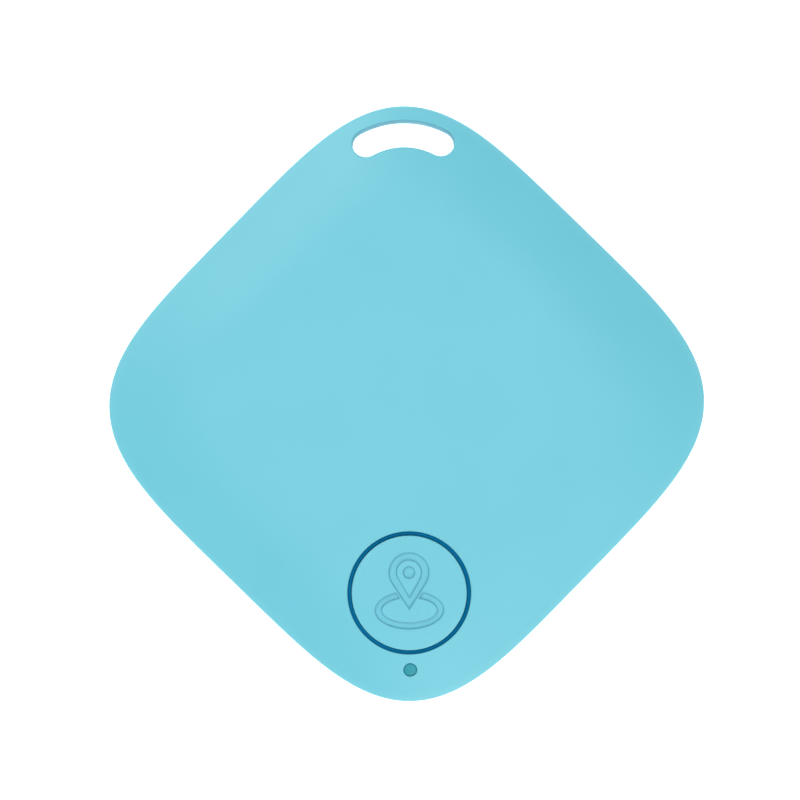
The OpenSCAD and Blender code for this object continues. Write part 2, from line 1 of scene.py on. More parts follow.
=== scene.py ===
"""Looks of a wireless tracker tag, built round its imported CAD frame.

The tag is two moulded shells on a coin cell, a circuit board, a buzzer disc and one push
button, with a curved slot for a key ring. Sizes here are in millimetres in the CAD frame, and
turn to metres as each mesh is made. The sizes that the parts share come from the frame.
"""

import logging
import math
from dataclasses import dataclass, field
from enum import Enum
from functools import partial
from typing import Any, Callable, NamedTuple, Sequence

import bmesh
import bpy
import numpy as np
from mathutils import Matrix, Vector, geometry


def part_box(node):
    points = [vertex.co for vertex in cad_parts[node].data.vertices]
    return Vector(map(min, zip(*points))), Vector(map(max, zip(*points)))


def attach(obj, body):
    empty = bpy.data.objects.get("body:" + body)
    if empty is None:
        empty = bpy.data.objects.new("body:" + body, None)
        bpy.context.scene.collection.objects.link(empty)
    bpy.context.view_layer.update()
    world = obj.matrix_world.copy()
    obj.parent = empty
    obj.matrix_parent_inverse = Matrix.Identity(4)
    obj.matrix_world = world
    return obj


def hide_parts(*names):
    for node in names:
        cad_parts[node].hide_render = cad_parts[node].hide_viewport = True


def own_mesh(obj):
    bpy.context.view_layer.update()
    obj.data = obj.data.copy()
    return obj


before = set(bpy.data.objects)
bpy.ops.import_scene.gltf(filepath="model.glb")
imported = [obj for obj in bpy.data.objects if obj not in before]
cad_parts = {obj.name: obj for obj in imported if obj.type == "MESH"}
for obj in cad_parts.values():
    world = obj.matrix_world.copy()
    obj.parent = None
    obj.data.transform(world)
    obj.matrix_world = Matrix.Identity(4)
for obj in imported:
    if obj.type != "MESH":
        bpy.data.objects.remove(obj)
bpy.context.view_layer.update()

LOG = logging.getLogger("tag")
MM = 0.001
NOWHERE = np.empty((0, 2))
TINY = 1e-6

Mesh = bpy.types.Mesh
Tree = bpy.types.NodeTree
Node = bpy.types.Node
Socket = bpy.types.NodeSocket
Loop = np.ndarray
Grown = Callable[[float], Loop]
Pair = tuple[float, float]
Triple = tuple[float, float, float]
Points = Sequence[Sequence[float]]
Profile = Sequence[Pair]


# ---- Nodes, meshes and pieces ----


def add(
    tree: Tree,
    kind: str,
    settings: dict[str, Any] | None = None,
    inputs: dict[str | int, Any] | None = None,
) -> Node:
    """Adds one node with its settings and links.

    Args:
        tree: The node tree that gets the node.
        kind: Blender's name for the kind of node.
        settings: Property values by name.
        inputs: For each socket name or number, a value, a socket, or a node whose first output
            feeds it.

    Returns:
        The new node.
    """
    node = tree.nodes.new(kind)
    for name, value in (settings or {}).items():
        setattr(node, name, value)
    for key, value in (inputs or {}).items():
        if isinstance(value, Node):
            value = value.outputs[0]
        if isinstance(value, Socket):
            tree.links.new(value, node.inputs[key])
        else:
            node.inputs[key].default_value = value
    return node


def work_out(tree: Tree, known: dict[str, Any], steps: Sequence[tuple]) -> dict[str, Any]:
    """Lays a formula into a tree as a chain of maths nodes.

    Args:
        tree: The node tree that gets the nodes.
        known: Sockets by the name that the steps call them.
        steps: For each step its name, its operation, and its terms: names or numbers.

    Returns:
        What was known and the result of each step, by name.
    """
    values = dict(known)
    for name, operation, *terms in steps:
        inputs = {i: values[t] if isinstance(t, str) else t for i, t in enumerate(terms)}
        values[name] = add(tree, "ShaderNodeMath", {"operation": operation}, inputs)
    return values


def linear(code: str) -> tuple[float, float, float, float]:
    """Turns an sRGB hex colour to the linear colour that nodes take.

    Args:
        code: Colour as #rrggbb.

    Returns:
        Linear red, green and blue, and full opacity.
    """
    parts = [int(code[i : i + 2], 16) / 255 for i in (1, 3, 5)]
    red, green, blue = (c / 12.92 if c <= 0.04045 else ((c + 0.055) / 1.055) ** 2.4 for c in parts)
    return red, green, blue, 1.0


def per_cell(size: float) -> float:
    """Pattern scale whose cells are size millimetres across."""
    return 1 / (size * MM)


def extent(node: str) -> tuple[np.ndarray, np.ndarray]:
    """Lowest and highest corner of a CAD node in millimetres."""
    low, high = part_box(node)
    return np.array(low) / MM, np.array(high) / MM


def heights(node: str) -> Pair:
    """Lowest and highest z of a CAD node in millimetres."""
    low, high = extent(node)
    return float(low[2]), float(high[2])


def stood(node: str) -> tuple[np.ndarray, np.ndarray]:
    """Middle of the foot of a CAD node's box, and its size."""
    low, high = extent(node)
    return np.array([*(low + high)[:2] / 2, low[2]]), high - low


def softened(mesh: Mesh, angle: float = 40.0) -> Mesh:
    """Shades a mesh smooth, with creases where faces meet at more than angle degrees."""
    mesh.shade_smooth()
    mesh.set_sharp_from_angle(angle=math.radians(angle))
    return mesh


def mesh_of(points: Points, faces: Sequence[Sequence[int]]) -> Mesh:
    """Makes a mesh.

    Args:
        points: Corner points in millimetres.
        faces: Corner numbers of each face, anticlockwise from outside.

    Returns:
        The mesh, in metres.
    """
    mesh = bpy.data.meshes.new("shape")
    mesh.from_pydata((np.array(points, float) * MM).tolist(), [], [list(f) for f in faces])
    mesh.validate()
    return mesh


def put(name: str, data: Any) -> bpy.types.Object:
    """Puts a mesh, light or camera into the scene."""
    thing = bpy.data.objects.new(name, data)
    bpy.context.scene.collection.objects.link(thing)
    return thing


def fit(
    name: str,
    parts: Sequence[Mesh],
    slot: str,
    finish: "Finish",
    node: str = "",
    body: str = "front",
    crease: float = 40.0,
) -> bpy.types.Object:
    """Joins finished meshes to one piece of the tag.

    Args:
        name: Name of the piece.
        parts: Its meshes, in metres and in place.
        slot: Not used.
        finish: Its finish.
        node: The CAD node that it stands for, if there is one.
        body: The body that it rides on.
        crease: Angle in degrees from which an edge shows as a crease.

    Returns:
        The piece.
    """
    mesh = parts[0] if len(parts) == 1 else gathered(parts)
    mesh.name = name
    mesh.materials.clear()
    mesh.materials.append(finish.material())
    piece = put(name, softened(mesh, crease))
    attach(piece, body)
    if node:
        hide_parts(node)
    LOG.info("%s: %d faces on %s", name, len(mesh.polygons), body)
    return piece


class Recipe:
    """A Geometry Nodes tree with named sizes that works on a start mesh and sets a finish."""

    def __init__(self, name: str, sizes: dict[str, str]) -> None:
        """Opens the tree.

        Args:
            name: Name of the tree.
            sizes: Socket type of each input, by the input's name.
        """
        self.tree = bpy.data.node_groups.new(name, "GeometryNodeTree")
        sockets = {"Start": "NodeSocketGeometry", **sizes, "Finish": "NodeSocketMaterial"}
        for label, kind in sockets.items():
            self.tree.interface.new_socket(label, in_out="INPUT", socket_type=kind)
        self.tree.interface.new_socket("Made", in_out="OUTPUT", socket_type="NodeSocketGeometry")
        self.given = add(self.tree, "NodeGroupInput").outputs

    def close(self, made: Node) -> "Recipe":
        """Ends the tree: real copies, and the finish on every face.

        Args:
            made: The node whose first output is the shape.

        Returns:
            The recipe itself.
        """
        real = add(self.tree, "GeometryNodeRealizeInstances", {}, {0: made})
        inputs = {"Geometry": real, "Material": self.given["Finish"]}
        dressed = add(self.tree, "GeometryNodeSetMaterial", {}, inputs)
        add(self.tree, "NodeGroupOutput", {}, {0: dressed})
        return self

    def make(self, start: Mesh, finish: "Finish", sizes: dict[str, Any]) -> Mesh:
        """Runs the tree and keeps the result as a plain mesh.

        Args:
            start: The mesh that it starts from.
            finish: The finish.
            sizes: A value for each named input.

        Returns:
            The finished mesh.
        """
        worker = put("worker", start)
        modifier = worker.modifiers.new("Recipe", "NODES")
        modifier.node_group = self.tree
        values = {**sizes, "Finish": finish.material()}
        for item in self.tree.interface.items_tree:
            if item.in_out == "INPUT" and item.name in values:
                modifier[item.identifier] = values[item.name]
        graph = bpy.context.evaluated_depsgraph_get()
        mesh = bpy.data.meshes.new_from_object(
            worker.evaluated_get(graph), preserve_all_data_layers=True, depsgraph=graph
        )
        worker.modifiers.clear()
        bpy.data.objects.remove(worker)
        return mesh


# ---- Plan shapes ----


def tidy(points: Any) -> Loop:
    """Rounds points so that those made twice are the same point."""
    return np.round(np.array(points, float), 4)


def ways(turns: np.ndarray) -> np.ndarray:
    """Steps of length 1 at angles in radians."""
    return np.c_[np.cos(turns), np.sin(turns)]


def round_edge(radius: float, steps: int) -> np.ndarray:
    """Rows of (how far in, how far down) over a rounded edge, from its side to its top."""
    return radius * (1 - ways(np.linspace(0, math.pi / 2, steps)))


def circle(radius: float, count: int, y: float = 0.0, x: float = 0.0) -> Loop:
    """Anticlockwise circle of points round (x, y)."""
    return tidy(radius * ways(np.arange(count) * 2 * math.pi / count) + (x, y))


def spun(points: np.ndarray, turn: float) -> np.ndarray:
    """Turns points round the middle by an angle in radians."""
    c, s = math.cos(turn), math.sin(turn)
    return np.c_[points[:, 0] * c - points[:, 1] * s, points[:, 0] * s + points[:, 1] * c]


def inside(places: np.ndarray, loop: Loop) -> np.ndarray:
    """Tests which places lie in a loop.

    Args:
        places: Points, one a row.
        loop: Closed line of points.

    Returns:
        True for each place in the loop.
    """
    x, y = places[:, :1], places[:, 1:]
    (ax, ay), (bx, by) = loop.T, np.roll(loop, -1, axis=0).T
    run = np.where(ay == by, 1, by - ay)
    crossed = ((ay > y) != (by > y)) & (x < ax + (y - ay) * (bx - ax) / run)
    return crossed.sum(1) % 2 == 1


def divided(loops: Sequence[Loop], free: np.ndarray) -> tuple[np.ndarray, np.ndarray]:
    """Cuts a plan into triangles that keep every loop's line.

    Args:
        loops: The loops.
        free: Further points that the triangles use.

    Returns:
        The points, and three point numbers for each triangle, anticlockwise.
    """
    gap = 0.3
    lines = np.vstack(loops)
    if len(free):
        near = np.array([np.hypot(*(lines - p).T).min() for p in free])
        free = free[near > gap]
    edges, first = [], 0
    for loop in loops:
        edges += [(first + i, first + (i + 1) % len(loop)) for i in range(len(loop))]
        first += len(loop)
    far = 2 * np.abs(lines).max()
    guard = np.array([(-far, -far), (far, -far), (far, far), (-far, far)])
    points = [Vector(p) for p in np.vstack([lines, free.reshape(-1, 2), guard])]
    found, _, corners, *_ = geometry.delaunay_2d_cdt(points, edges, [], 0, 1e-5, False)
    return tidy(found), np.array(corners)


class Level(NamedTuple):
    """Height of a stretch: z, and follow is 1 where z is counted from the domed face."""

    z: float
    follow: float = 0.0
    through: bool = False


class Skin:
    """Points and faces of one closed moulding, before its dome is lifted."""

    def __init__(self, form: "CaseForm") -> None:
        """Starts with nothing but the form whose dome it follows."""
        self.form = form
        self.index: dict[tuple[float, ...], int] = {}
        self.points: list[tuple[float, ...]] = []
        # Per point: above 0 paints edges lighter, part scuffing and part painted highlight; below 0
        # paints shade in grooves.
        self.wear_and_light: list[float] = []
        self.faces: list[list[int]] = []

    def point(self, place: Sequence[float], level: Level, wear_and_light: float = 0.0) -> int:
        """Number of the point at a place and level, made if it is new."""
        x, y, z = (round(float(size), 4) for size in (*place, level.z))
        key = (x, y, z, level.follow)
        if key not in self.index:
            self.index[key] = len(self.points)
            self.points.append(key)
            self.wear_and_light.append(wear_and_light)
        return self.index[key]

    def face(self, corners: Sequence[int]) -> None:
        """Adds a face, less any corner that comes twice."""
        kept = list(dict.fromkeys(corners))
        if len(kept) > 2:
            self.faces.append(kept)

    def ring(self, loop: Loop, level: Level, wear_and_light: float = 0.0) -> list[int]:
        """Point numbers of a loop at one level."""
        return [self.point(p, level, wear_and_light) for p in loop]

    def rings(self, steps: Sequence[tuple[Loop, Level, float]], closed: bool = False) -> None:
        """Joins loops in order: up the outside, inwards over the top and down a hole.

        Args:
            steps: Each loop with its level and its tone: above 0 scuffing with a painted highlight,
                below 0 painted shade.
            closed: True if the last loop joins the first.
        """
        made = [self.ring(*step) for step in steps]
        pairs = list(zip(made, made[1:]))
        if closed:
            pairs.append((made[-1], made[0]))
        for low, high in pairs:
            for i in range(len(low)):
                j = (i + 1) % len(low)
                self.face([low[i], low[j], high[j], high[i]])

    def top(self, loops: Sequence[Loop], level: Level, free: np.ndarray = NOWHERE) -> None:
        """Fills what an odd number of loops hold, seen from above.

        Args:
            loops: The edges of the stretch and of its holes.
            level: Its level.
            free: Further points that carry its curve.
        """
        places, corners = divided(loops, free)
        middles = places[corners].mean(1)
        odd = sum(inside(middles, loop).astype(int) for loop in loops) % 2 == 1
        for triangle in corners[odd]:
            self.face([self.point(places[i], level) for i in triangle])

    def underside(
        self,
        edge: Loop,
        floors: Sequence[tuple[Loop, Level]],
        rest: Level,
        free: np.ndarray = NOWHERE,
    ) -> None:
        """Fills the inner side as flat and domed stretches with upright walls between them.

        Args:
            edge: The outer edge.
            floors: Loops with their levels. Where they overlap, the first one holds.
            rest: Level of what is left.
            free: Further points that carry the curve of a domed stretch.
        """
        places, corners = divided([edge, *(loop for loop, _ in floors)], free)
        middles = places[corners].mean(1)
        kind = np.full(len(corners), len(floors))
        for i in reversed(range(len(floors))):
            kind[inside(middles, floors[i][0])] = i
        kind[~inside(middles, edge)] = -1
        levels = [level for _, level in floors] + [rest]
        beside: dict[tuple[int, int], int] = {}
        stacks: dict[int, set[Level]] = {}
        for triangle, which in zip(corners.tolist(), kind.tolist()):
            if which < 0:
                continue
            for i in range(3):
                beside[triangle[i], triangle[(i + 1) % 3]] = which
                stacks.setdefault(triangle[i], set()).add(levels[which])
            if not levels[which].through:
                self.face([self.point(places[i], levels[which]) for i in reversed(triangle)])
        for (p, q), left in beside.items():
            right = beside.get((q, p))
            if right is None or p > q or levels[left] == levels[right]:
                continue
            near, far = levels[left], levels[right]
            up = self.stack(places[q], stacks[q], near, far)
            self.face([*up, *self.stack(places[p], stacks[p], far, near)])

    def stack(self, place: np.ndarray, levels: set[Level], first: Level, last: Level) -> list[int]:
        """Points on one upright line of a wall.

        Args:
            place: Where the line stands.
            levels: Every level that meets there.
            first: Level where the wall starts.
            last: Level where it ends.

        Returns:
            The point numbers in order, with each level between the two.
        """
        face = float(self.form.face_z(self.form.inset_at(np.array([place])))[0])
        height = {level: level.z + level.follow * face for level in levels}
        low, high = sorted((height[first], height[last]))
        kept = [level for level in levels if low < height[level] < high]
        kept.sort(key=height.get, reverse=bool(height[first] > height[last]))
        return [self.point(place, level) for level in (first, *kept, last)]

    def flat(self) -> Mesh:
        """The skin as a mesh, with nothing lifted."""
        return mesh_of([p[:3] for p in self.points], self.faces)


def lip(
    skin: Skin, grown: Grown, size: float, depth: float = 0.0, wear_and_light: float = 0.8
) -> Loop:
    """Rounds the edge where the domed face turns down into a hole or a groove.

    Args:
        skin: The moulding.
        grown: The hole's loop, moved into the material by a distance.
        size: Radius of the edge.
        depth: How far the wall goes on below the edge.
        wear_and_light: How far the edge is painted lighter, part scuffing and part painted
            highlight. Below 0 it is painted shade instead.

    Returns:
        The loop where the face starts.
    """
    holding, steps = 0.06, 5
    start = grown(size + holding)
    rows = [(start, Level(0, 1), 0.0)]
    rows += [(grown(out), Level(-down, 1), wear_and_light) for down, out in round_edge(size, steps)]
    if depth > size:
        # The foot of a sunk wall gets a little painted shade.
        rows.append((grown(0), Level(-depth, 1), -0.12))
    skin.rings(rows)
    return start


# ---- The form that the mouldings share ----


@dataclass(frozen=True)
class CoinNotch:
    """Notch in the seam of the rear cover where a coin turns the shells apart."""

    reach: float = 0.7
    radius: float = 5.0
    height: float = 0.9
    heading: float = -45.0

    def bitten(self, loop: Loop, half: float, inset: float) -> Loop:
        """Draws a loop in to the notch.

        Args:
            loop: Loop of the outline's family.
            half: Half of the case's width across its flats.
            inset: How far in the loop lies.

        Returns:
            The loop with the notch in it.
        """
        far = half - self.reach + self.radius
        turn = np.arctan2(loop[:, 1], loop[:, 0]) - math.radians(self.heading)
        room = (self.radius + inset) ** 2 - (far * np.sin(turn)) ** 2
        near, reach = far * np.cos(turn) - np.sqrt(np.maximum(room, 0)), np.hypot(*loop.T)
        near = np.where((room > 0) & (np.cos(turn) > 0), near, reach)
        return tidy(loop * (np.minimum(reach, near) / reach)[:, None])


@dataclass(frozen=True)
class CaseForm:
    """Outline, seam and dome of the case, the same for the front and, turned over, the rear."""

    corner: float
    thickness: float
    seam_z: float
    power: float = 4.13
    rim_height: float = 3.6
    dome_inset: float = 7.6
    edge_radius: float = 0.35
    wall: float = 1.0
    side_wall: float = 1.1
    seam_rounding: float = 0.1
    count: int = 480

    @property
    def half(self) -> float:
        """Half of the width across the flats."""
        return self.corner * 2 ** (1 / self.power - 0.5)

    @property
    def rise(self) -> float:
        """How far the dome rises above the rim."""
        return (self.thickness - self.rim_height) / 2

    @property
    def rim(self) -> float:
        """Height of the rim of the front."""
        return self.thickness - self.rise

    def loop(self, inset: float, count: int = 0) -> Loop:
        """Outline moved in by an inset."""
        count = count or self.count
        turn = np.arange(count) * 2 * math.pi / count
        tilted = turn - math.pi / 4
        span = np.abs(np.cos(tilted)) ** self.power + np.abs(np.sin(tilted)) ** self.power
        reach = (self.half - inset) / span ** (1 / self.power)
        return tidy(ways(turn) * reach[:, None])

    def inset_at(self, places: np.ndarray) -> np.ndarray:
        """Inset of the outline's own family at each place."""
        u, v = np.abs(spun(places, math.pi / 4)).T
        return self.half - (u**self.power + v**self.power) ** (1 / self.power)

    def face_z(self, inset: np.ndarray | float) -> np.ndarray:
        """Height of the front face at an inset."""
        t = np.clip(np.asarray(inset, float) / self.dome_inset, 0, 1)
        return self.rim + self.rise * (1.5 * t - 0.5 * t**3)

    def kept_in(self, loop: Loop, inset: float) -> Loop:
        """Loop whose points are drawn in to at least an inset."""
        room = (self.half - inset) / (self.half - self.inset_at(loop))
        return tidy(loop * np.minimum(1, room)[:, None])

    def flat_side(self, inset: float, along: float) -> float:
        """Distance of the outline from the middle, along a line square to a flat."""
        return ((self.half - inset) ** self.power - abs(along) ** self.power) ** (1 / self.power)

    def free_points(self, first: float) -> np.ndarray:
        """Points that carry the dome's curve, closer together where it bends.

        Args:
            first: Inset of the first ring of them.

        Returns:
            The points.
        """
        bend, flat = 0.42, 1.1
        rows, inset, row = [], first, 0
        while inset < self.half - flat:
            step = bend if inset < self.dome_inset else flat
            count = max(8, int(2 * math.pi * (self.half - inset) / (1.35 * step)))
            loop = self.loop(inset, 2 * count)
            rows.append(loop[row % 2 :: 2])
            inset, row = inset + step, row + 1
        return np.vstack(rows)

    def skirt(self, skin: Skin, notch: CoinNotch | None = None) -> tuple[Loop, Loop]:
        """Runs the outside from the seam over the band and round the edge of the dome.

        Args:
            skin: The moulding.
            notch: A notch in the seam, if there is one.

        Returns:
            The loop at the seam and the loop where the dome starts.
        """
        # The third value of each row paints the rim and the seam lighter: part scuffing, part
        # painted highlight.
        rounds, edge_steps, rows = 5, 6, []
        for up, inset in round_edge(self.seam_rounding, rounds):
            loop = self.loop(inset)
            if notch:
                loop = notch.bitten(loop, self.half, inset)
            rows.append((loop, Level(self.seam_z + up), 0.6))
        if notch:
            ledge = Level(self.thickness / 2 + notch.height)
            rows.append((notch.bitten(self.loop(0), self.half, 0), ledge, 0.5))
            rows.append((self.loop(0), ledge, 0.5))
        turn = math.pi / 2 - math.atan(1.5 * self.rise / self.dome_inset)
        last = self.edge_radius * (1 - math.cos(turn))
        low = float(self.face_z(last)) - self.edge_radius * math.sin(turn)
        for i in range(edge_steps):
            t = turn * i / edge_steps
            level = Level(low + self.edge_radius * math.sin(t))
            rows.append((self.loop(self.edge_radius * (1 - math.cos(t))), level, min(1.0, i / 3)))
        rows.append((self.loop(last), Level(0, 1), 1.0))
        skin.rings(rows)
        return rows[0][0], rows[-1][0]


def dome_lift() -> Recipe:
    """Recipe that lifts a skin onto the dome of the case, and turns it over for the rear.

    Returns:
        The recipe, with the sizes of the dome as its inputs.
    """
    names = ("Half width", "Power", "Rim height", "Rise", "Dome inset", "Thickness")
    sizes = {name: "NodeSocketFloat" for name in names}
    recipe = Recipe("Dome lift", {**sizes, "Turned over": "NodeSocketBool"})
    tree, given = recipe.tree, recipe.given
    place = add(tree, "ShaderNodeSeparateXYZ", {}, {0: add(tree, "GeometryNodeInputPosition")})
    kind = {"data_type": "FLOAT"}
    follow = add(tree, "GeometryNodeInputNamedAttribute", kind, {"Name": "follow"})
    known = {"x": place.outputs[0], "y": place.outputs[1], "z": place.outputs[2], "follow": follow}
    known.update({name: given[name] for name in (*names, "Turned over")})
    steps = [("u way", "ADD", "x", "y"), ("v way", "SUBTRACT", "x", "y")]
    for axis in "uv":
        steps += [
            (axis, "MULTIPLY", f"{axis} way", math.sqrt(0.5)),
            (f"{axis} size", "ABSOLUTE", axis),
            (f"{axis} share", "DIVIDE", f"{axis} size", "Half width"),
            (f"{axis} power", "POWER", f"{axis} share", "Power"),
        ]
    steps += [
        ("total", "ADD", "u power", "v power"),
        ("turned power", "DIVIDE", 1.0, "Power"),
        ("reach", "POWER", "total", "turned power"),
        ("short of 1", "SUBTRACT", 1.0, "reach"),
        ("inset", "MULTIPLY", "short of 1", "Half width"),
        ("share", "DIVIDE", "inset", "Dome inset"),
        ("low t", "MAXIMUM", "share", 0.0),
        ("t", "MINIMUM", "low t", 1.0),
        ("t cubed", "POWER", "t", 3.0),
        ("t part", "MULTIPLY", "t", 1.5),
        ("cubed part", "MULTIPLY", "t cubed", 0.5),
        ("curve", "SUBTRACT", "t part", "cubed part"),
        ("lift", "MULTIPLY", "curve", "Rise"),
        ("face", "ADD", "lift", "Rim height"),
        ("added", "MULTIPLY", "face", "follow"),
        ("height", "ADD", "z", "added"),
        ("from back", "SUBTRACT", "Thickness", "height"),
        ("gap", "SUBTRACT", "from back", "height"),
        ("moved", "MULTIPLY", "gap", "Turned over"),
        ("final", "ADD", "height", "moved"),
    ]
    out = work_out(tree, known, steps)
    target = add(tree, "ShaderNodeCombineXYZ", {}, {0: out["x"], 1: out["y"], 2: out["final"]})
    inputs = {"Geometry": given["Start"], "Position": target}
    raised = add(tree, "GeometryNodeSetPosition", {}, inputs)
    inputs = {"Mesh": raised, "Selection": given["Turned over"]}
    return recipe.close(add(tree, "GeometryNodeFlipFaces", {}, inputs))


def lifted(skin: Skin, recipe: Recipe, finish: "Finish", over: bool = False) -> Mesh:
    """Makes a skin into a mesh on the dome.

    Args:
        skin: The moulding.
        recipe: The dome lift.
        finish: The finish.
        over: True to turn it over for the rear.

    Returns:
        The mesh.
    """
    form, mesh = skin.form, skin.flat()
    # The attribute carries the painted highlight with scuffing on edges, and painted shade in
    # grooves.
    for label, values in (("follow", [p[3] for p in skin.points]), ("wear_and_light", skin.wear_and_light)):
        mesh.attributes.new(label, "FLOAT", "POINT").data.foreach_set("value", values)
    sizes = {
        "Half width": form.half * MM,
        "Power": form.power,
        "Rim height": form.rim * MM,
        "Rise": form.rise * MM,
        "Dome inset": form.dome_inset * MM,
        "Thickness": form.thickness * MM,
        "Turned over": over,
    }
    return recipe.make(mesh, finish, sizes)


# ---- Shapes of the small parts ----


def gathered(meshes: Sequence[Mesh]) -> Mesh:
    """Puts several meshes into one.

    Args:
        meshes: The meshes; they are removed.

    Returns:
        The one mesh.
    """
    whole = bmesh.new()
    for mesh in meshes:
        whole.from_mesh(mesh)
        bpy.data.meshes.remove(mesh)
    made = bpy.data.meshes.new("shape")
    whole.to_mesh(made)
    whole.free()
    return made


def eased(profile: Profile, size: float) -> list[Pair]:
    """Rounds the corners of a closed profile, but not those on the axis.

    Args:
        profile: Points of (distance from the axis, height).
        size: How far back from a corner the rounding starts, where the sides are long enough.

    Returns:
        The rounded profile.
    """
    steps, most = 4, 0.45
    spots = np.array(profile, float)
    rows = []
    for before, corner, after in zip(np.roll(spots, 1, 0), spots, np.roll(spots, -1, 0)):
        if corner[0] < TINY:
            rows.append(tuple(corner))
            continue
        ways = (before - corner, after - corner)
        start, end = (corner + way * min(size / np.hypot(*way), most) for way in ways)
        for t in np.linspace(0, 1, steps):
            rows.append(tuple(start * (1 - t) ** 2 + corner * 2 * t * (1 - t) + end * t**2))
    return rows


def turned(
    profile: Profile,
    centre: Pair = (0, 0),
    count: int = 72,
    arc: Pair | None = None,
) -> Mesh:
    """Turns a closed profile round an upright axis, all the way or along an arc.

    Args:
        profile: Points of (distance from the axis, height), anticlockwise.
        centre: Where the axis stands.
        count: Faces in a full turn.
        arc: First and last angle in degrees, or None for a full turn.

    Returns:
        The mesh.
    """
    turns = np.arange(count) * 2 * math.pi / count
    if arc:
        steps = max(2, round(count * (arc[1] - arc[0]) / 360)) + 1
        turns = np.radians(np.linspace(*arc, steps))
    points, rows = [], []
    for radius, z in profile:
        if radius < TINY:
            points.append((*centre, z))
            rows.append([len(points) - 1] * len(turns))
            continue
        rows.append(list(range(len(points), len(points) + len(turns))))
        ring = ways(turns) * radius + centre
        points += [(x, y, z) for x, y in ring]
    faces = []
    for low, high in zip(rows, rows[1:] + rows[:1]):
        for i in range(len(turns) - bool(arc)):
            j = (i + 1) % len(turns)
            face = list(dict.fromkeys((low[i], low[j], high[j], high[i])))
            if len(face) > 2:
                faces.append(face)
    if arc:
        faces += [[row[0] for row in rows], [row[-1] for row in reversed(rows)]]
    return mesh_of(points, faces)


def box(low: Pair, high: Pair) -> Profile:
    """Anticlockwise profile of a rectangle between two corners."""
    return [low, (high[0], low[1]), high, (low[0], high[1])]


def block(middle: Sequence[float], size: Sequence[float], bevel: float = 0.04) -> Mesh:
    """Makes a block with rounded edges.

    Args:
        middle: Centre of its foot.
        size: Width, depth and height.
        bevel: Radius of its edges.

    Returns:
        The mesh.
    """
    shape, most = bmesh.new(), 0.3 * min(size)
    bmesh.ops.create_cube(shape, size=1.0)
    bmesh.ops.scale(shape, vec=Vector(size), verts=shape.verts)
    edges = shape.edges[:]
    bmesh.ops.bevel(shape, geom=edges, offset=min(bevel, most), segments=2, affect="EDGES")
    place = Vector(middle) + Vector((0, 0, size[2] / 2))
    bmesh.ops.translate(shape, vec=place, verts=shape.verts)
    bmesh.ops.scale(shape, vec=(MM, MM, MM), verts=shape.verts)
    mesh = bpy.data.meshes.new("shape")
    shape.to_mesh(mesh)
    shape.free()
    return mesh


def bar(profile: Profile, half: float) -> Mesh:
    """Draws a closed profile of (x, z) out to half millimetres each side of y = 0."""
    count = len(profile)
    points = [(x, y, z) for y in (-half, half) for x, z in profile]
    sides = [(i, count + i, count + (i + 1) % count, (i + 1) % count) for i in range(count)]
    return mesh_of(points, [*sides, range(count), range(2 * count - 1, count - 1, -1)])


def plate(
    form: CaseForm,
    outline: Grown,
    holes: Sequence[Loop],
    span: Pair,
    wells: Sequence[tuple[Loop, float]] = (),
) -> Mesh:
    """Makes a flat plate with holes, and wells sunk into its top.

    Args:
        form: The case, for its skin.
        outline: The plate's outline, moved in by a distance.
        holes: Loops of the holes.
        span: Heights of its two faces.
        wells: Loops with the height of their floors.

    Returns:
        The mesh.
    """
    skin, (low, high), bevel = Skin(form), span, 0.03
    steps = ((bevel, low), (0, low + bevel), (0, high - bevel), (bevel, high))
    skin.rings([(outline(inset), Level(z), 0.0) for inset, z in steps])
    for loop, floor in wells:
        skin.rings([(loop, Level(high), 0.0), (loop, Level(floor), 0.0)])
        skin.top([loop], Level(floor))
    skin.top([outline(bevel), *holes, *(loop for loop, _ in wells)], Level(high))
    through = Level(high, 0, True)
    skin.underside(outline(bevel), [(hole, through) for hole in holes], Level(low))
    return skin.flat()


def square(y: float, width: float) -> Grown:
    """Outline of a square with round corners.

    Args:
        y: Where its middle stands.
        width: Its width.

    Returns:
        A function that gives the outline moved in by a distance.
    """
    corner = 0.15

    def loop(inset: float) -> Loop:
        """The outline, moved in."""
        turns, place = np.linspace(0, math.pi / 2, 5), width / 2 - corner
        arc = (corner - inset) * ways(turns) + place
        return tidy(np.vstack([spun(arc, math.pi / 2 * k) for k in range(4)]) + (0, y))

    return loop


def cross(length: float, width: float, turn: float, y: float = 0.0) -> Loop:
    """Outline of a cross.

    Args:
        length: Length of its arms from end to end.
        width: Width of the arms.
        turn: Its turn in degrees.
        y: Where its middle stands.

    Returns:
        The outline.
    """
    a, b = length / 2, width / 2
    arm = np.array([(a, -b), (a, b), (b, b)])
    return tidy(np.vstack([spun(arm, math.radians(turn + 90 * k)) for k in range(4)]) + (0, y))


def quarters(reach: float, y: float) -> np.ndarray:
    """Four places on a circle round (0, y), on the diagonals."""
    return spun(circle(reach, 4), math.pi / 4) + (0, y)


def hoop(radius: float, count: int, y: float) -> Grown:
    """Circle that can be grown.

    Args:
        radius: Its radius.
        count: Its points.
        y: Where its middle stands.

    Returns:
        A function that gives the circle grown by a distance.
    """

    def loop(grow: float) -> Loop:
        """The circle, grown."""
        return circle(radius + grow, count, y)

    return loop


def marked(
    form: CaseForm, rows: Profile, ring: Grown, mark: Loop, floor: float
) -> Mesh:
    """Turns a profile that starts and ends in flat faces, with a mark sunk into its foot.

    Args:
        form: The case, for its skin.
        rows: Points of (distance from the axis, height), from the foot up the outside.
        ring: Gives the circle of a radius.
        mark: Outline of the mark.
        floor: Height of the mark's floor.

    Returns:
        The mesh.
    """
    skin = Skin(form)
    steps = [(ring(radius), Level(float(z)), 0.0) for radius, z in rows]
    skin.rings(steps)
    skin.top([steps[-1][0]], steps[-1][1])
    skin.underside(steps[0][0], [(mark, Level(floor))], steps[0][1])
    return skin.flat()


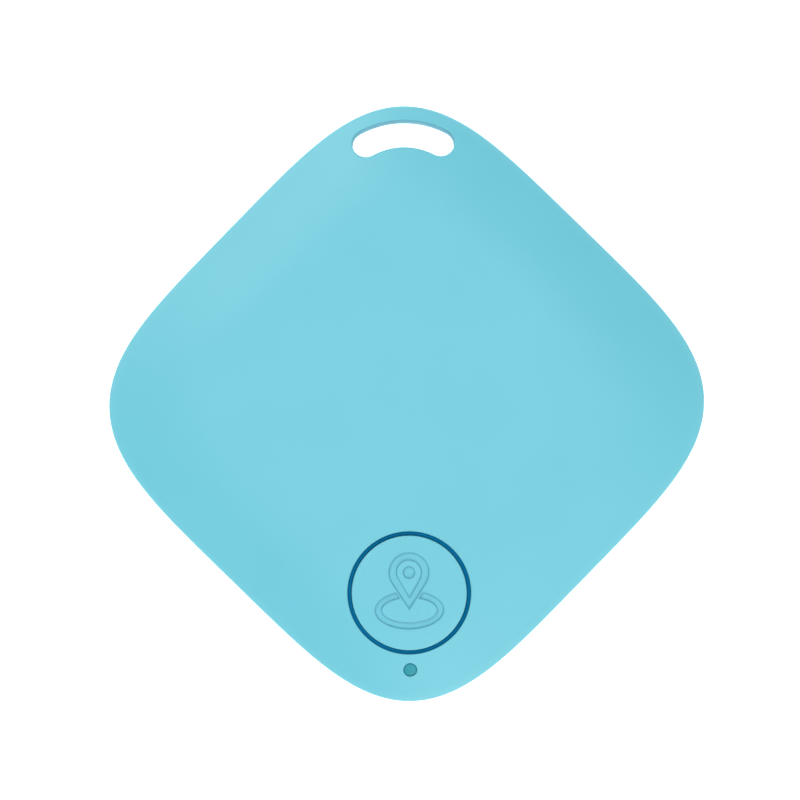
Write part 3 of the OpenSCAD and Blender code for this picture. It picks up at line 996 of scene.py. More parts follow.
def copies(along: bool) -> Recipe:
    """Recipe that copies a shape to every start point, turned by the point's own turn.

    Args:
        along: True to space the copies evenly along the start mesh's edges instead.

    Returns:
        The recipe. Its Shape is the object that is copied, once in every Pitch.
    """
    recipe = Recipe("Copies", {"Shape": "NodeSocketObject", "Pitch": "NodeSocketFloat"})
    tree, given = recipe.tree, recipe.given
    shape = add(tree, "GeometryNodeObjectInfo", {}, {"Object": given["Shape"]})
    inputs = {"Points": given["Start"], "Instance": shape.outputs["Geometry"]}
    if along:
        line = add(tree, "GeometryNodeMeshToCurve", {}, {0: given["Start"]})
        lengths = {"Curve": line, "Length": given["Pitch"]}
        even = add(tree, "GeometryNodeResampleCurve", {"mode": "LENGTH"}, lengths)
        inputs["Points"] = even
    else:
        kind = {"data_type": "FLOAT"}
        turn = add(tree, "GeometryNodeInputNamedAttribute", kind, {"Name": "turn"})
        inputs["Rotation"] = add(tree, "ShaderNodeCombineXYZ", {}, {2: turn})
    return recipe.close(add(tree, "GeometryNodeInstanceOnPoints", {}, inputs))


def run_along(flat: bool) -> Recipe:
    """Recipe that runs a round wire or a flat track along the start mesh's edges.

    Args:
        flat: True for a track.

    Returns:
        The recipe, with the sizes of the section and the radius of its bends as inputs.
    """
    sizes = ("Width", "Height", "Bend") if flat else ("Radius", "Bend")
    recipe = Recipe("Track" if flat else "Wire", {name: "NodeSocketFloat" for name in sizes})
    tree, given = recipe.tree, recipe.given
    line = add(tree, "GeometryNodeMeshToCurve", {}, {0: given["Start"]})
    bends = {"Curve": line, "Count": 6, "Radius": given["Bend"], "Limit Radius": True}
    bent = add(tree, "GeometryNodeFilletCurve", {"mode": "POLY"}, bends)
    if flat:
        section = {"Width": given["Width"], "Height": given["Height"]}
        cut = add(tree, "GeometryNodeCurvePrimitiveQuadrilateral", {"mode": "RECTANGLE"}, section)
    else:
        section = {"Resolution": 14, "Radius": given["Radius"]}
        cut = add(tree, "GeometryNodeCurvePrimitiveCircle", {}, section)
    inputs = {"Curve": bent, "Profile Curve": cut, "Fill Caps": True}
    return recipe.close(add(tree, "GeometryNodeCurveToMesh", {}, inputs))


def winding() -> Recipe:
    """Recipe that winds a wire in close turns round an upright core.

    Returns:
        The recipe, with the turns, the core, the wire and the place as inputs.
    """
    names = ("Turns", "Core radius", "Height", "Wire radius")
    sizes = {name: "NodeSocketFloat" for name in names}
    recipe = Recipe("Winding", {**sizes, "Place": "NodeSocketVector"})
    tree, given = recipe.tree, recipe.given
    core = {"Start Radius": given["Core radius"], "End Radius": given["Core radius"]}
    inputs = {"Resolution": 28, "Rotations": given["Turns"], **core, "Height": given["Height"]}
    line = add(tree, "GeometryNodeCurveSpiral", {}, inputs)
    circular = {"Resolution": 8, "Radius": given["Wire radius"]}
    section = add(tree, "GeometryNodeCurvePrimitiveCircle", {}, circular)
    inputs = {"Curve": line, "Profile Curve": section, "Fill Caps": True}
    wound = add(tree, "GeometryNodeCurveToMesh", {}, inputs)
    inputs = {"Geometry": wound, "Translation": given["Place"]}
    return recipe.close(add(tree, "GeometryNodeTransform", {}, inputs))


def lines(paths: Sequence[Points], closed: bool = False) -> Mesh:
    """Start mesh of edges along paths of points.

    Args:
        paths: Each path's points.
        closed: True if each path returns to its start.

    Returns:
        The mesh.
    """
    points, edges = [], []
    for path in paths:
        first, count = len(points), len(path)
        points += [tuple(p) for p in path]
        last = count if closed else count - 1
        edges += [(first + i, first + (i + 1) % count) for i in range(last)]
    mesh = bpy.data.meshes.new("lines")
    mesh.from_pydata((np.array(points, float) * MM).tolist(), edges, [])
    return mesh


@dataclass
class Bench:
    """The recipes that the small parts share."""

    copy: Recipe = field(default_factory=partial(copies, False))
    space: Recipe = field(default_factory=partial(copies, True))
    wire: Recipe = field(default_factory=partial(run_along, False))
    track: Recipe = field(default_factory=partial(run_along, True))
    wind: Recipe = field(default_factory=winding)

    def spread(
        self,
        shape: Mesh,
        finish: "Finish",
        places: Points,
        turns: Sequence[float] = (),
        pitch: float = 0.0,
    ) -> Mesh:
        """Copies a shape to places, or evenly along a closed path; the shape is used up.

        Args:
            shape: What is copied.
            finish: The finish.
            places: Where the copies go, or the points of the path.
            turns: One turn in degrees for each place, or nothing.
            pitch: Spacing along the path, or 0 for one copy at each place.

        Returns:
            The mesh of all copies.
        """
        model = put("model", softened(shape))
        if pitch:
            start = lines([places], closed=True)
        else:
            start = mesh_of(places, [])
            values = np.radians(list(turns) or [0.0] * len(places)).tolist()
            start.attributes.new("turn", "FLOAT", "POINT").data.foreach_set("value", values)
        recipe = self.space if pitch else self.copy
        made = recipe.make(start, finish, {"Shape": model, "Pitch": pitch * MM})
        bpy.data.objects.remove(model)
        return made


# ---- Finishes ----


class Working(Enum):
    """How a sheet or bar of metal was made, which sets the way its fine lines run."""

    ROLLED = "straight lines from the rolling mill"
    TURNED = "rings from drawing or turning"
    PLATED = "no lines, only fine plating grain"


def noise(tree: Tree, place: Any, size: float, detail: float = 2.0) -> Node:
    """Adds soft noise with patches size millimetres across."""
    inputs = {"Vector": place, "Scale": per_cell(size), "Detail": detail}
    return add(tree, "ShaderNodeTexNoise", {}, inputs)


def specks(tree: Tree, place: Any, size: float) -> Node:
    """Adds round cells size millimetres across."""
    return add(tree, "ShaderNodeTexVoronoi", {}, {"Vector": place, "Scale": per_cell(size)})


@dataclass(frozen=True)
class Finish:
    """A surface named for what it is made of. Each kind lays its own pattern.

    The pattern stands depth millimetres out, and varies the roughness by spread.
    """

    name: str
    colour: str
    roughness: float
    shade: str = "#808080"
    sockets: tuple[tuple[str, Any], ...] = ()
    depth: float = 0.004
    spread: float = 0.05

    def material(self) -> bpy.types.Material:
        """Makes the material, or finds it if it is made already.

        Returns:
            The material.
        """
        made = bpy.data.materials.get(self.name)
        if made is None:
            made = bpy.data.materials.new(self.name)
            made.use_nodes = True
            tree = made.node_tree
            tree.nodes.clear()
            given = {"Base Color": linear(self.colour), "Roughness": self.roughness}
            shader = add(tree, "ShaderNodeBsdfPrincipled", {}, {**given, **dict(self.sockets)})
            add(tree, "ShaderNodeOutputMaterial", {}, {"Surface": shader})
            self.lay(tree, shader, add(tree, "ShaderNodeTexCoord").outputs["Object"])
        return made

    def lay(self, tree: Tree, shader: Node, place: Socket) -> None:
        """Lays the pattern; each kind of finish has its own.

        Args:
            tree: The material's nodes.
            shader: Its shader.
            place: Socket that gives the place on the piece.
        """
        raise NotImplementedError

    def tint(
        self, tree: Tree, shader: Node, share: Any, under: Socket | None = None, other: str = ""
    ) -> Socket:
        """Mixes the colour towards another.

        Args:
            tree: The material's nodes.
            shader: Its shader.
            share: Socket that says how far, from 0 to 1.
            under: Colour socket that is mixed from, or None for the finish's own colour.
            other: Hex colour that is mixed to, or nothing for the finish's shade.

        Returns:
            The mixed colour.
        """
        start = linear(self.colour) if under is None else under
        colours = {0: share, 6: start, 7: linear(other or self.shade)}
        mixed = add(tree, "ShaderNodeMix", {"data_type": "RGBA"}, colours).outputs[2]
        tree.links.new(mixed, shader.inputs["Base Color"])
        return mixed

    def texture(self, tree: Tree, shader: Node, gloss: Any, height: Any) -> None:
        """Varies the roughness with one pattern, and raises the surface with another.

        Args:
            tree: The material's nodes.
            shader: Its shader.
            gloss: Pattern of the roughness.
            height: Pattern of the height.
        """
        low, high = self.roughness - self.spread, self.roughness + self.spread
        span = add(tree, "ShaderNodeMapRange", {}, {"Value": gloss, "To Min": low, "To Max": high})
        tree.links.new(span.outputs[0], shader.inputs["Roughness"])
        inputs = {"Strength": 1.0, "Distance": self.depth * MM, "Height": height}
        bump = add(tree, "ShaderNodeBump", {}, inputs)
        tree.links.new(bump.outputs[0], shader.inputs["Normal"])


@dataclass(frozen=True)
class Moulded(Finish):
    """Injection moulded plastic: a satin skin with the fine grain of a spark-eroded mould.

    The eye sees soft broad highlights and a faint cloudiness. Edges are painted a little lighter,
    part scuffing and part painted highlight, and engravings get painted shade.
    """

    grain: float = 0.16
    depth: float = 0.0022
    cloud: float = 7.0
    cloudy: float = 0.35
    # Lighter colour for edges, part scuffing and part painted highlight, and how far edges go
    # towards it.
    scuffed_and_highlit: str = ""
    scuff_and_light_share: float = 0.4
    # Darker colour of the painted shade in engravings.
    sunk: str = ""

    def lay(self, tree: Tree, shader: Node, place: Socket) -> None:
        """Lays clouds, edges painted lighter as scuffing with a painted highlight, painted shade in
        engravings, and mould grain. The grain of the real mould is about a third as wide, too fine
        to show."""
        cloud, grain = noise(tree, place, self.cloud, 3.0), noise(tree, place, self.grain)
        inputs = {"Value": cloud, "From Min": 0.35, "From Max": 0.75, "To Max": self.cloudy}
        colour = self.tint(tree, shader, add(tree, "ShaderNodeMapRange", {}, inputs))
        # Above 0 the attribute paints edges lighter, part scuffing and part painted highlight;
        # below 0 it paints shade in engravings.
        if self.scuffed_and_highlit:
            wear_and_light = add(tree, "ShaderNodeAttribute", {"attribute_name": "wear_and_light"}).outputs["Fac"]
            steps = (
                ("patch", "MULTIPLY", "cloud", self.scuff_and_light_share),
                ("scuffed_and_lit", "MULTIPLY", "patch", "wear_and_light"),
                ("on edge", "MAXIMUM", "scuffed_and_lit", 0.0),
                ("below", "MULTIPLY", "wear_and_light", -1.0),
                ("engraved", "MAXIMUM", "below", 0.0),
            )
            scuff_and_light_share = work_out(tree, {"wear_and_light": wear_and_light, "cloud": cloud}, steps)
            colour = self.tint(tree, shader, scuff_and_light_share["on edge"], colour, self.scuffed_and_highlit)
            # Painted shade: engravings are mixed towards the darker colour.
            self.tint(tree, shader, scuff_and_light_share["engraved"], colour, self.sunk)
        self.texture(tree, shader, grain, grain)


@dataclass(frozen=True)
class Rubber(Finish):
    """Moulded silicone rubber: dull and slightly bloomed, with a few specks of lint."""

    depth: float = 0.006
    spread: float = 0.1
    bloom: float = 1.6
    speck: float = 0.5

    def lay(self, tree: Tree, shader: Node, place: Socket) -> None:
        """Lays a bloom and specks, with a fine uneven skin."""
        bloom = noise(tree, place, self.bloom, 4.0)
        self.tint(tree, shader, bloom)
        self.texture(tree, shader, specks(tree, place, self.speck), bloom)


@dataclass(frozen=True)
class ClearPlastic(Finish):
    """Tinted clear plastic, smooth from the mould: milky inside, with a soft shine on its end."""

    spread: float = 0.06
    milk: float = 0.9

    def lay(self, tree: Tree, shader: Node, place: Socket) -> None:
        """Lays the cloudiness of the tint, and the faint pull of a moulded end."""
        milk = noise(tree, place, self.milk)
        self.tint(tree, shader, milk)
        self.texture(tree, shader, milk, milk)


@dataclass(frozen=True)
class Foam(Finish):
    """Open cell polyurethane foam: a skin of small torn bubbles that swallows the light."""

    depth: float = 0.12
    spread: float = 0.0
    cell: float = 0.45

    def lay(self, tree: Tree, shader: Node, place: Socket) -> None:
        """Lays the bubbles as painted shade, which darkens each cell from its pale middle towards
        its edge, where the bump raises its wall.
        """
        bubble, fine = specks(tree, place, self.cell), noise(tree, place, self.cell / 4)
        known = {"bubble": bubble, "fine": fine}
        steps = (("part", "MULTIPLY", "fine", 0.4), ("torn", "ADD", "bubble", "part"))
        torn = work_out(tree, known, steps)["torn"]
        self.tint(tree, shader, torn)
        self.texture(tree, shader, torn, torn)


@dataclass(frozen=True)
class Metal(Finish):
    """Sheet or plated metal, whose fine lines or grain spread its reflections."""

    depth: float = 0.0012
    spread: float = 0.08
    working: Working = Working.PLATED
    line: float = 0.12
    centre: Pair = (0.0, 0.0)
    tarnish: float = 2.5

    def lay(self, tree: Tree, shader: Node, place: Socket) -> None:
        """Lays the lines of the metal's working, which are drawn wider than they are, to show,
        and tarnish in soft patches."""
        shader.inputs["Metallic"].default_value = 1.0
        x, y = self.centre
        inputs = {"Vector": place, "Location": (-x * MM, -y * MM, 0)}
        moved = add(tree, "ShaderNodeMapping", {}, inputs)
        if self.working is Working.TURNED:
            kind = {"wave_type": "RINGS", "rings_direction": "Z"}
            inputs = {"Vector": moved, "Scale": per_cell(self.line * 20)}
            inputs.update({"Distortion": 1.5, "Detail": 3.0})
            fine = add(tree, "ShaderNodeTexWave", kind, inputs)
        else:
            stretch = (1.0, 0.03, 1.0) if self.working is Working.ROLLED else (1.0, 1.0, 1.0)
            long = add(tree, "ShaderNodeMapping", {}, {"Vector": moved, "Scale": stretch})
            fine = noise(tree, long, self.line)
        self.tint(tree, shader, noise(tree, place, self.tarnish, 4.0))
        self.texture(tree, shader, fine, fine)


@dataclass(frozen=True)
class SolderMask(Finish):
    """Glass laminate under green solder mask, over a copper plane that shows as a darker net.

    The mask is glossy and thin, and the cut sides show the straw colour of the laminate.
    """

    depth: float = 0.01
    spread: float = 0.07
    weave: float = 0.55
    peel: float = 0.8
    edge: str = "#b9ac72"

    def lay(self, tree: Tree, shader: Node, place: Socket) -> None:
        """Lays the weave under the mask, its orange peel, and bare laminate on upright sides."""
        greys = {"Color1": 1.0, "Color2": 0.7, "Mortar": 0.2}
        inputs = {"Vector": place, "Scale": per_cell(self.weave), "Mortar Size": 0.08}
        inputs.update({name: (grey, grey, grey, 1) for name, grey in greys.items()})
        weave = add(tree, "ShaderNodeTexBrick", {"offset": 0.5}, inputs)
        peel = noise(tree, place, self.peel, 3.0)
        normal = add(tree, "ShaderNodeNewGeometry").outputs["Normal"]
        up = add(tree, "ShaderNodeSeparateXYZ", {}, {0: normal}).outputs[2]
        steps = (
            ("net", "MULTIPLY", "weave", "peel"),
            ("slope", "ABSOLUTE", "up"),
            ("side", "LESS_THAN", "slope", 0.5),
        )
        shares = work_out(tree, {"weave": weave, "peel": peel, "up": up}, steps)
        colour = self.tint(tree, shader, shares["net"])
        self.tint(tree, shader, shares["side"], colour, self.edge)
        self.texture(tree, shader, peel, peel)


@dataclass(frozen=True)
class Grained(Finish):
    """Fired, filled or pressed matter, such as ceramic, epoxy or powder: fine specks all over."""

    depth: float = 0.008
    grain: float = 0.12
    patch: float = 2.0

    def lay(self, tree: Tree, shader: Node, place: Socket) -> None:
        """Lays specks in soft patches."""
        speck, patch = specks(tree, place, self.grain), noise(tree, place, self.patch, 3.0)
        known = {"speck": speck, "patch": patch}
        both = work_out(tree, known, [("both", "MULTIPLY", "speck", "patch")])["both"]
        self.tint(tree, shader, both)
        self.texture(tree, shader, patch, speck)


CASE_PLASTIC = Moulded(
    "ABS_moulded_light_blue",
    "#6cc6d7",
    0.5,
    "#66c0d1",
    (("IOR", 1.54),),
    # Lighter colour of the edges: part scuffing, part painted highlight.
    scuffed_and_highlit="#86d4e2",
    # Darker colour of the painted shade in engravings.
    sunk="#4a9db4",
)
SEAL_OPTICS = (("IOR", 1.41), ("Specular IOR Level", 0.1))
SEAL_RUBBER = Rubber("Silicone_rubber_deep_blue", "#006b98", 0.85, "#005f8a", SEAL_OPTICS)
PIPE_OPTICS = (("IOR", 1.49), ("Specular IOR Level", 0.3))
PIPE_PLASTIC = ClearPlastic("Acrylic_teal_satin", "#2f9cab", 0.5, "#278c99", PIPE_OPTICS)


# ---- Case ----


@dataclass
class FrontShell:
    """The light blue front: keyring slot, button bore and lamp hole, with what stands inside."""

    form: CaseForm
    lift: Recipe
    button_y: float
    slot_y: float
    slot_radius: float = 6.26
    slot_width: float = 2.24
    slot_half_angle: float = 28.5
    slot_wall: float = 1.0
    slot_lip: float = 0.1
    bore_radius: float = 4.93
    bore_lip: float = 0.1
    pocket_radius: float = 5.35
    collar_radius: float = 6.05
    stop_z: float = 6.53
    pipe_y: float = -21.31
    pipe_radius: float = 0.54
    screw: Pair = (12.9, 2.0)
    boss_radius: float = 1.7
    boss_z: float = 5.75
    pilot_radius: float = 0.7
    pilot_z: float = 7.3
    peg: Pair = (9.2, -9.2)
    peg_radius: float = 0.7
    peg_z: float = 4.65
    ejectors: tuple[Pair, ...] = ((-16, 0), (16, 0), (-9, 12.5), (9, 12.5))
    ejector_radius: float = 0.9
    ejector_depth: float = 0.05

    def slot_loop(self, grow: float) -> Loop:
        """Outline of the keyring slot, an arc with round ends.

        Args:
            grow: How far it is grown.

        Returns:
            The outline.
        """
        half, reach = math.radians(self.slot_half_angle), self.slot_width / 2 + grow
        rows, cap = [], np.linspace(0, math.pi, 22)[1:-1]
        for way, count, more in ((1, 56, 0), (-1, 36, math.pi)):
            stop = math.pi / 2 + way * half
            turns = np.linspace(math.pi - stop, stop, count)
            rows.append(ways(turns) * (self.slot_radius + way * reach))
            rows.append(ways(stop + more + cap) * reach + ways(stop) * self.slot_radius)
        return tidy(np.vstack(rows) + (0, self.slot_y))

    def hollow_loop(self) -> Loop:
        """Outline of the hollow, cut off straight inside the wall under the slot."""
        rows = self.form.loop(self.form.side_wall, 240)
        low_end = self.slot_radius * math.cos(math.radians(self.slot_half_angle))
        reach = self.slot_y + low_end - self.slot_width / 2 - 0.12
        return tidy(np.c_[rows[:, 0], np.minimum(rows[:, 1], reach)])

    def collar_loop(self) -> Loop:
        """Outline of the flat collar over the flange, cut back where the ceiling is lower."""
        wanted, count, halvings = self.stop_z + self.form.wall, 96, 24
        way = ways(np.arange(count) * 2 * math.pi / count)
        low, high = np.full(count, self.pocket_radius), np.full(count, self.collar_radius)
        for _ in range(halvings):
            middle = (low + high) / 2
            places = way * middle[:, None] + (0, self.button_y)
            under = self.form.face_z(self.form.inset_at(places)) > wanted
            low, high = np.where(under, middle, low), np.where(under, high, middle)
        return tidy(way * low[:, None] + (0, self.button_y))

    def shared_floors(self, y: float = 0.0, way: int = 1) -> list[tuple[Loop, Level]]:
        """Floors that both shells have: the wall round the slot, ejector marks and the hollow.

        Args:
            y: Where the middle of the ejector marks stands.
            way: 1, or -1 to mirror the marks.

        Returns:
            The loops with their levels.
        """
        form = self.form
        wall = form.kept_in(self.slot_loop(self.slot_wall), 0.7)
        pressed = Level(self.ejector_depth - form.wall, 1)
        marks = [circle(self.ejector_radius, 32, y + way * b, a) for a, b in self.ejectors]
        floors = [(wall, Level(form.seam_z)), *((mark, pressed) for mark in marks)]
        return [*floors, (self.hollow_loop(), Level(-form.wall, 1))]

    def build(self) -> None:
        """Builds the shell."""
        form, skin = self.form, Skin(self.form)
        seam, edge = form.skirt(skin)
        bore = hoop(self.bore_radius, 192, self.button_y)
        pipe = hoop(self.pipe_radius, 40, self.pipe_y)
        holes = ((self.slot_loop, self.slot_lip), (bore, self.bore_lip), (pipe, 0.07))
        # The lips of the slot, the bore and the lamp hole are painted a little lighter: part
        # scuffing, part painted highlight.
        starts = [lip(skin, grown, size, wear_and_light=0.2) for grown, size in holes]
        skin.top([edge, *starts], Level(0, 1), form.free_points(0.6))
        floors = [(grown(0), Level(-size, 1, True)) for grown, size in holes]
        for (x, y), radius, count, z in (
            (self.screw, self.pilot_radius, 32, self.pilot_z),
            (self.screw, self.boss_radius, 48, self.boss_z),
            (self.peg, self.peg_radius, 32, self.peg_z),
        ):
            floors += [(circle(radius, count, y, side * x), Level(z)) for side in (-1, 1)]
        floors += [(self.collar_loop(), Level(self.stop_z)), *self.shared_floors()]
        skin.underside(seam, floors, Level(form.seam_z), form.free_points(1.5)[::2])
        mesh = lifted(skin, self.lift, CASE_PLASTIC)
        fit("front_shell_moulding", [mesh], "case_plastic", CASE_PLASTIC, "front_shell")


@dataclass
class RearCover:
    """The back, turned over from the form of the front, with the tongue that closes the case."""

    form: CaseForm
    lift: Recipe
    front: FrontShell
    tongue_z: float = 5.05
    tongue_gap: float = 0.1
    tongue_thick: float = 0.9
    tongue_half_length: float = 9.0
    rib_radius: float = 0.35
    rib_proud: float = 0.06
    rib_pitch: float = 6.0
    rib_z: float = 4.85
    post_radius: float = 1.2
    post_z: float = 4.9
    arrow_x: float = 10.5
    arrow_depth: float = 0.15
    notch: CoinNotch = field(default_factory=CoinNotch)

    def strip(self, outer: float, inner: float, turn: float) -> Loop:
        """Stretch of the tongue's outline on one flat, between two insets."""
        reach = self.tongue_half_length
        along = np.linspace(-reach, reach, 13)
        near = [(self.form.flat_side(inner, s), s) for s in along[::-1]]
        rows = np.array([(self.form.flat_side(outer, s), s) for s in along] + near)
        return tidy(spun(rows, turn))

    def arrow(self, grow: float) -> Loop:
        """Outline of the arrow head that points at the coin notch.

        Args:
            grow: How far it is grown.

        Returns:
            The outline.
        """
        tip, back, half = 1.6, -0.8, 1.4
        corners = np.array([(tip, 0.0), (back, half), (back, -half)])
        sides = np.hypot(*(corners - np.roll(corners, -1, axis=0)).T)
        span = np.roll(sides, -1)
        middle = (corners * span[:, None]).sum(0) / span.sum()
        inner = 2 * half * (tip - back) / sides.sum()
        rows = middle + (corners - middle) * (inner + grow) / inner + (self.arrow_x, 0)
        return tidy(spun(rows, math.radians(self.notch.heading)))

    def build(self) -> None:
        """Builds the cover."""
        form, front, skin = self.form, self.front, Skin(self.form)
        seam, edge = form.skirt(skin, self.notch)
        # The slot's lip is painted lighter: part scuffing, part painted highlight.
        slot = lip(skin, front.slot_loop, front.slot_lip)
        # The arrow's lip is painted lighter in the same way, and the foot of its wall gets a little
        # painted shade.
        arrow = lip(skin, self.arrow, 0.04, self.arrow_depth)
        skin.top([edge, slot, arrow], Level(0, 1), form.free_points(0.6))
        skin.top([self.arrow(0)], Level(-self.arrow_depth, 1))
        floors = [(front.slot_loop(0), Level(-front.slot_lip, 1, True))]
        post = circle(self.post_radius, 40, front.button_y)
        floors.append((post, Level(form.thickness - self.post_z)))
        outer = form.side_wall + self.tongue_gap
        inner = outer + self.tongue_thick
        turns = [math.radians(45 + 90 * k) for k in range(4)]
        for turn in turns:
            strip = self.strip(outer, inner, turn)
            floors.append((strip, Level(form.thickness - self.tongue_z)))
        for turn in turns:
            for k in (-1, 0, 1):
                along = k * self.rib_pitch
                out = form.flat_side(outer, along) + self.rib_proud - self.rib_radius
                ((x, y),) = spun(np.array([(out, along)]), turn)
                rib = circle(self.rib_radius, 20, y, x)
                floors.append((rib, Level(form.thickness - self.rib_z)))
        for turn in turns:
            floors.append((self.strip(form.side_wall - 0.1, inner, turn), Level(form.seam_z)))
        floors += front.shared_floors(-2, -1)
        skin.underside(seam, floors, Level(form.seam_z), form.free_points(1.5)[::2])
        mesh = lifted(skin, self.lift, CASE_PLASTIC, over=True)
        fit("rear_cover_moulding", [mesh], "case_plastic", CASE_PLASTIC, "rear_cover", "rear")


# ---- Button ----


@dataclass
class Button:
    """The push button: its cap with the engraved map pin, and the rubber seal round it."""

    form: CaseForm
    lift: Recipe
    y: float
    cap_radius: float = 4.6
    cap_lip: float = 0.1
    seal_inner: float = 4.63
    seal_outer: float = 4.93
    seal_drop: float = 0.15
    flange_radius: float = 5.2
    flange_z: float = 6.15
    flange_top: float = 6.5
    stop_z: float = 6.53
    recess_radius: float = 2.987
    roof_z: float = 7.0
    nib_radius: float = 1.2
    nib_z: float = 6.87
    icon_depth: float = 0.15
    icon_lip: float = 0.07
    pin_radius: float = 1.56
    pin_length: float = 2.88
    pin_inner_radius: float = 1.02
    pin_inner_length: float = 2.03
    pin_dot_radius: float = 0.44
    pin_rise: float = 1.65
    oval_half: Pair = (2.71, 1.49)
    oval_line: float = 0.45
    oval_drop: float = 1.36
    oval_gap: float = 0.25

    def drop_loop(self, radius: float, length: float, grow: float) -> Loop:
        """Outline of a map pin: a circle drawn out to a point below it.

        Args:
            radius: Radius of the circle.
            length: From the circle's middle to the point.
            grow: How far it is grown.

        Returns:
            The outline.
        """
        size = radius + grow
        open_turn = math.acos(radius / length)
        turn = np.linspace(open_turn, 2 * math.pi - open_turn, 49) - math.pi / 2
        rows = size * ways(turn)
        tip = np.array([(0, -length * size / radius)])
        out = [tip + (rows[0] - tip) * k / 5 for k in range(5)]
        back = [tip + (rows[-1] - tip) * k / 5 for k in range(4, 0, -1)]
        return tidy(np.vstack([*out, rows, *back]) + (0, self.y + self.pin_rise))

    def oval_loop(self, grow: float) -> Loop:
        """Outline of the oval's line, open where the pin stands on it.

        Args:
            grow: How far it is grown.

        Returns:
            The outline.
        """
        guard = self.drop_loop(self.pin_radius, self.pin_length, self.oval_gap - grow)
        rows = []
        middle, halvings = np.array([(0, self.y - self.oval_drop)]), 40
        for reach, order in ((grow, 1), (-self.oval_line - grow, -1)):
            half = np.array(self.oval_half) + reach
            low, high = 0.0, math.pi / 2
            for _ in range(halvings):
                turn = (low + high) / 2
                spot = middle + half * ways(turn)
                low, high = (low, turn) if inside(spot, guard)[0] else (turn, high)
            turns = np.linspace(math.pi - low, 2 * math.pi + low, 61)[::order]
            rows.append(ways(turns) * half + middle)
        return tidy(np.vstack(rows))

    def build_cap(self) -> None:
        """Builds the cap."""
        skin, ring = Skin(self.form), hoop(0, 160, self.y)
        bevel = 0.05
        rows = [
            (ring(self.flange_radius - bevel), Level(self.flange_z), 0.0),
            (ring(self.flange_radius), Level(self.flange_z + bevel), 0.0),
            (ring(self.flange_radius), Level(self.flange_top - bevel), 0.0),
            (ring(self.flange_radius - bevel), Level(self.flange_top), 0.0),
            (ring(self.cap_radius), Level(self.flange_top), 0.0),
        ]
        # The cap's rim is painted lighter: part scuffing, part painted highlight.
        for inset, drop in round_edge(self.cap_lip, 5):
            rows.append((ring(self.cap_radius - inset), Level(-drop, 1), 0.9))
        start = ring(self.cap_radius - self.cap_lip - 0.06)
        rows.append((start, Level(0, 1), 0.0))
        skin.rings(rows)
        pin = partial(self.drop_loop, self.pin_radius, self.pin_length)
        core = partial(self.drop_loop, self.pin_inner_radius, self.pin_inner_length)
        dot = hoop(self.pin_dot_radius, 32, self.y + self.pin_rise)
        size, depth = self.icon_lip, self.icon_depth
        # The lips of the pin, its dot, its core and the oval get painted shade, and the foot of
        # each wall a little.
        starts = [lip(skin, grown, size, depth, -0.6) for grown in (pin, dot, self.oval_loop)]
        island = [(core(0), Level(-depth, 1), -0.12)]
        for inset, drop in round_edge(size, 5):
            island.append((core(-inset), Level(-drop, 1), -0.6))
        island.append((core(-size - 0.06), Level(0, 1), 0.0))
        skin.rings(island)
        grid = np.vstack([circle(r, int(12 * r) + 6, self.y) for r in np.arange(0.4, 4.4, 0.4)])
        skin.top([start, *starts, island[-1][0]], Level(0, 1), grid)
        for loops in ([pin(0), core(0)], [dot(0)], [self.oval_loop(0)]):
            skin.top(loops, Level(-depth, 1))
        floors = [
            (circle(self.nib_radius, 48, self.y), Level(self.nib_z)),
            (circle(self.recess_radius, 96, self.y), Level(self.roof_z)),
        ]
        skin.underside(rows[0][0], floors, Level(self.flange_z))
        mesh = lifted(skin, self.lift, CASE_PLASTIC)
        fit("button_cap_moulding", [mesh], "case_plastic", CASE_PLASTIC, "button_cap", "button")

    def build_seal(self) -> None:
        """Builds the rubber seal, a ring with a crowned top just under the face."""
        skin, ring = Skin(self.form), hoop(0, 192, self.y)
        rows = [(ring(self.seal_outer), Level(self.stop_z), 0.0)]
        middle = (self.seal_inner + self.seal_outer) / 2
        half = self.seal_outer - middle
        crown = 0.09
        for turn in np.linspace(0, math.pi, 9):
            drop = self.seal_drop + crown * (1 - math.sin(turn))
            rows.append((ring(middle + half * math.cos(turn)), Level(-drop, 1), 0.0))
        rows.append((ring(self.seal_inner), Level(self.stop_z), 0.0))
        skin.rings(rows, closed=True)
        mesh = lifted(skin, self.lift, SEAL_RUBBER)
        fit("button_seal_ring", [mesh], "seal_rubber", SEAL_RUBBER, "button_seal")


@dataclass
class LightPipe:
    """The light pipe at the tip of the case, which shows the side lamp's light."""

    form: CaseForm
    lift: Recipe
    y: float
    shaft_radius: float = 0.52
    shaft_drop: float = 0.08
    collar_radius: float = 0.95
    collar_low: float = 4.25
    collar_high: float = 5.3

    def build(self) -> None:
        """Builds the light pipe with its lens end."""
        skin, ring = Skin(self.form), hoop(0, 48, self.y)
        bevel = 0.06
        rows = [
            (ring(self.collar_radius - bevel), Level(self.collar_low), 0.0),
            (ring(self.collar_radius), Level(self.collar_low + bevel), 0.0),
            (ring(self.collar_radius), Level(self.collar_high - bevel), 0.0),
            (ring(self.collar_radius - bevel), Level(self.collar_high), 0.0),
            (ring(self.shaft_radius), Level(self.collar_high), 0.0),
        ]
        edge = 0.1
        for inset, drop in round_edge(edge, 4):
            level = Level(-self.shaft_drop - drop, 1)
            rows.append((ring(self.shaft_radius - inset), level, 0.0))
        skin.rings(rows)
        skin.top([rows[-1][0]], Level(-self.shaft_drop, 1), ring(0.2)[::4])
        skin.underside(rows[0][0], [], Level(self.collar_low))
        mesh = lifted(skin, self.lift, PIPE_PLASTIC)
        fit("light_pipe_moulding", [mesh], "pipe_plastic", PIPE_PLASTIC, "light_pipe")


# ---- Finishes inside the case ----

